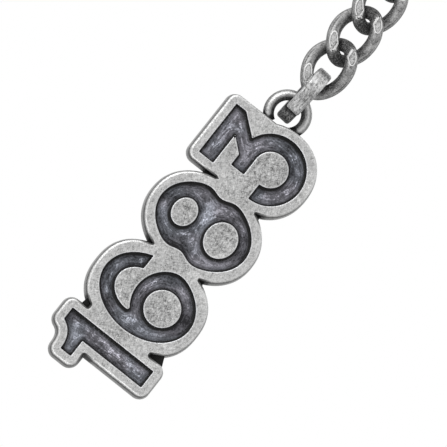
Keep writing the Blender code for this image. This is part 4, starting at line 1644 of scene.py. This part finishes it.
@dataclass
class JumpRing:
    """Flat band bent into a ring, its two cut ends a little out of line."""

    mark_names: ClassVar[tuple[str, ...]] = ("inner", "rim", "ends", "lower_shade", "wear_and_highlight")
    finish: bpy.types.Material
    band: float = 2.34 * MM
    wall: float = 1.12 * MM
    edge: float = 0.46 * MM
    inner_edge: float = 0.18 * MM
    radius: float = 4.3875 * MM
    centre: Vector = field(default_factory=lambda: Vector((-0.24 * MM, 0.0, -59.2825 * MM)))
    lean: float = 4.5
    butt_turn: float = 46.0
    butt_gap: float = 0.16 * MM
    out_of_line: float = 0.12 * MM
    # Reach and strength of the painted shadow at each cut end
    first_end_shadow: tuple[float, float] = (0.62 * MM, 1.0)
    last_end_shadow: tuple[float, float] = (0.20 * MM, 0.45)
    # Shares of the way round of the painted shade on the lower part and of the worn patch with its painted
    # highlight
    lower_shade_share: float = 0.30
    highlight_place: float = 0.785
    highlight_reach: float = 0.085
    steps: int = 120

    def build(self) -> bpy.types.Object:
        """Model the ring.

        Returns:
            The ring's piece.
        """
        bm, marks = marked(self.mark_names)
        section, rounded, inner = strip_section(self.wall, self.band, self.edge, self.inner_edge)
        # The ring's axis lies along X, and its turn starts at the front
        laid = Matrix(((0, 0, 1, 0), (-1, 0, 0, 0), (0, -1, 0, 0), (0, 0, 0, 1)))
        placing = (Matrix.Translation(self.centre) @ Matrix.Rotation(math.radians(self.lean), 4, "Y")
                   @ Matrix.Rotation(math.radians(self.butt_turn), 4, "X") @ laid)
        half_gap = math.degrees(self.butt_gap / self.radius) / 2.0
        stations = []
        for share in (index / self.steps for index in range(self.steps + 1)):
            drift = self.out_of_line * (share - 0.5)
            angle = math.radians(half_gap + (360.0 - 2.0 * half_gap) * share)
            stations.append(round_ring(placing, angle, self.radius + drift, drift))

        def dress(vert: Vert, place: int, index: int) -> None:
            """Mark the inside, the corners for painted highlight, the painted shadow at the cut ends, the
            painted shade on the lower part and the worn patch with its painted highlight.

            Args:
                vert: The point.
                place: Its place's number.
                index: Its number in the section.
            """
            share = place / self.steps
            reach, dark = self.first_end_shadow if share < 0.5 else self.last_end_shadow
            from_end = min(share, 1.0 - share) * 2.0 * math.pi * self.radius
            vert[marks["inner"]] = inner[index]
            vert[marks["rim"]] = rounded[index]
            vert[marks["ends"]] = max(0.0, 1.0 - from_end / reach) ** 0.6 * dark
            vert[marks["lower_shade"]] = max(0.0, 1.0 - share / self.lower_shade_share) ** 0.5
            vert[marks["wear_and_highlight"]] = max(0.0, 1.0 - abs(share - self.highlight_place) / self.highlight_reach)

        Sweep(bm).run(stations, section, False, dress)
        item = new_piece("jump_ring_band", bm, self.finish, 45.0)
        settle(item, "jump_ring", "jump_ring")
        return item


@dataclass
class SplitRing:
    """Two turns of flat strip in one piece, with the step from one layer to the other."""

    finish: bpy.types.Material
    diameter: float = 30.0 * MM
    width: float = 2.00 * MM
    strip: float = 0.90 * MM
    turn_gap: float = 0.42 * MM
    edge: float = 0.24 * MM
    plane: float = 45.0
    step_turn: float = 56.0
    step_half: float = 13.0
    steps: int = 280

    def rise(self, turn: float) -> float:
        """Height of the strip's centre at a turn in degrees."""
        share = min(1.0, max(0.0, (turn - 360.0 + self.step_half) / (2.0 * self.step_half)))
        return (self.strip + self.turn_gap) * (share * share * (3.0 - 2.0 * share) - 0.5)

    def build(self) -> bpy.types.Object:
        """Model the ring.

        Returns:
            The ring's piece.
        """
        bm, marks = marked(("inner", "rim", "radius"))
        section, rounded, _ = strip_section(self.width, self.strip, self.edge)
        inner_radius = self.diameter / 2.0 - self.width
        radius = (self.diameter - self.width) / 2.0
        placing = (Matrix.Translation((0.0, 0.0, -inner_radius))
                   @ Matrix.Rotation(math.radians(self.plane), 4, "Z")
                   @ Matrix.Rotation(math.pi / 2.0, 4, "X"))
        stations = []
        layers = []
        for index in range(self.steps + 1):
            turn = self.step_half + (720.0 - 2.0 * self.step_half) * index / self.steps
            angle = math.radians(turn + self.step_turn)
            stations.append(round_ring(placing, angle, radius, self.rise(turn)))
            on_step = abs(turn - 360.0) <= self.step_half
            layers.append(0.0 if on_step else math.copysign(1.0, 360.0 - turn))

        def dress(vert: Vert, place: int, index: int) -> None:
            """Mark the corners for painted highlight, the faces between the turns for painted shade, and the
            distance from the ring's axis.

            Args:
                vert: The point.
                place: Its place's number.
                index: Its number in the section.
            """
            facing = section[index][1] / (self.strip / 2.0)
            vert[marks["inner"]] = max(0.0, facing * layers[place]) ** 3
            vert[marks["rim"]] = rounded[index] * (1.0 - 0.7 * max(0.0, facing * layers[place]))
            vert[marks["radius"]] = (radius + section[index][0]) / MM

        Sweep(bm).run(stations, section, False, dress)
        item = new_piece("split_ring_strip", bm, self.finish, 45.0)
        settle(item, "split_ring", "split_ring")
        return item


@dataclass
class Studio:
    """Pale floor, soft lamps, white surroundings and the camera."""

    frame_px: float = 447.0
    per_px: float = 0.14906 * MM
    aim: Vector = field(default_factory=lambda: Vector((2.04 * MM, -1.5 * MM, -82.16 * MM)))
    azimuth: float = -2.5
    elevation: float = -7.5
    roll: float = 38.26
    distance: float = 0.68
    sensor: float = 36.0
    floor_height: float = -0.34
    floor_half: float = 1.60
    plain_level: float = 0.55

    def view_axes(self) -> tuple[Vector, Vector, Vector]:
        """Right, up and backward axes of the camera.

        Returns:
            The three axes, each of length 1.
        """
        degrees = (self.azimuth, self.elevation, self.roll)
        azimuth, elevation, roll = (math.radians(value) for value in degrees)
        back = Vector((math.sin(azimuth) * math.cos(elevation), -math.cos(azimuth) * math.cos(elevation),
                       math.sin(elevation)))
        right = Vector((0.0, 0.0, 1.0)).cross(back).normalized()
        up = back.cross(right).normalized()
        return (right * math.cos(roll) + up * math.sin(roll),
                up * math.cos(roll) - right * math.sin(roll), back)

    def camera(self) -> None:
        """Set the camera at the photograph's angle."""
        right, up, back = self.view_axes()
        data = bpy.data.cameras.new("camera")
        data.sensor_width = self.sensor
        data.lens = self.sensor * self.distance / (self.frame_px * self.per_px)
        data.clip_start, data.clip_end = 0.01, 10.0
        item = placed("camera", data)
        item.matrix_world = Matrix.Translation(self.aim + back * self.distance) @ Matrix(
            (right, up, back)).transposed().to_4x4()
        bpy.context.scene.camera = item

    def lamp(self, name: str, direction: Vector, distance: float, size: float, power: float) -> None:
        """Soft square lamp that faces the keyring.

        Args:
            name: The lamp's name.
            direction: Where it stands, seen from the keyring.
            distance: How far away it stands.
            size: Its side.
            power: Its power in watts.
        """
        data = bpy.data.lights.new(name, "AREA")
        data.shape = "SQUARE"
        data.size = size
        data.energy = power
        item = placed(name, data)
        item.location = self.aim + direction.normalized() * distance
        item.rotation_mode = "QUATERNION"
        item.rotation_quaternion = direction.normalized().to_track_quat("Z", "Y")

    def lamps(self) -> None:
        """Place the lamps: a key above the chain's end, a fill on the other side, and one behind."""
        _, _, back = self.view_axes()
        along, across = Vector((0.0, 0.0, 1.0)), Vector((1.0, 0.0, 0.0))
        self.lamp("key", along * 0.70 - across * 0.75 + back * 0.80, 1.20, 0.70, 7.8)
        self.lamp("fill", back * 1.0 - across * 0.1 - along * 1.3, 0.32, 0.30, 0.66)
        self.lamp("rear", back * -1.0 + along * 0.8 + across * 0.3, 0.70, 0.45, 1.4)

    def surroundings(self) -> None:
        """White to the camera, to gloss and through glass; a plainer level for everything else."""
        world = bpy.data.worlds.new("surroundings")
        bpy.context.scene.world = world
        world.use_nodes = True
        tree = world.node_tree
        ground = tree.nodes["Background"]
        ground.inputs["Color"].default_value = (1.0, 1.0, 1.0, 1.0)
        path = tree.nodes.new("ShaderNodeLightPath")
        seen: bpy.types.NodeSocket = path.outputs["Is Camera Ray"]
        for name in ("Is Glossy Ray", "Is Transmission Ray"):
            either = tree.nodes.new("ShaderNodeMath")
            either.operation = "MAXIMUM"
            tree.links.new(seen, either.inputs[0])
            tree.links.new(path.outputs[name], either.inputs[1])
            seen = either.outputs[0]
        level = tree.nodes.new("ShaderNodeMapRange")
        level.inputs["To Min"].default_value = self.plain_level
        level.inputs["To Max"].default_value = 1.0
        tree.links.new(seen, level.inputs["Value"])
        tree.links.new(level.outputs["Result"], ground.inputs["Strength"])

    def floor(self) -> None:
        """Pale floor well below the hanging keyring."""
        bm = bmesh.new()
        bmesh.ops.create_grid(bm, x_segments=8, y_segments=8, size=self.floor_half)
        bmesh.ops.translate(bm, verts=bm.verts, vec=(0.0, 0.0, self.floor_height))
        item = new_piece("floor", bm, PaleFloor().build(), 30.0)

    def build(self) -> None:
        """Set the whole studio."""
        self.camera()
        self.floor()
        self.lamps()
        self.surroundings()
        bpy.context.scene.view_settings.view_transform = "Standard"


def main() -> None:
    """Build the keyring's looks and the studio, and report each piece."""
    logging.basicConfig(level=logging.INFO, format="%(message)s")
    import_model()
    Studio().build()
    SplitRing(SplitRingPlate().build()).build()
    CurbChain(AntiquedWire().build()).build()
    JumpRing(BrushedBand().build()).build()
    settle(FobCasting(AntiquePewter().build()).build(), "fob", "fob")


if __name__ == "__main__":
    main()
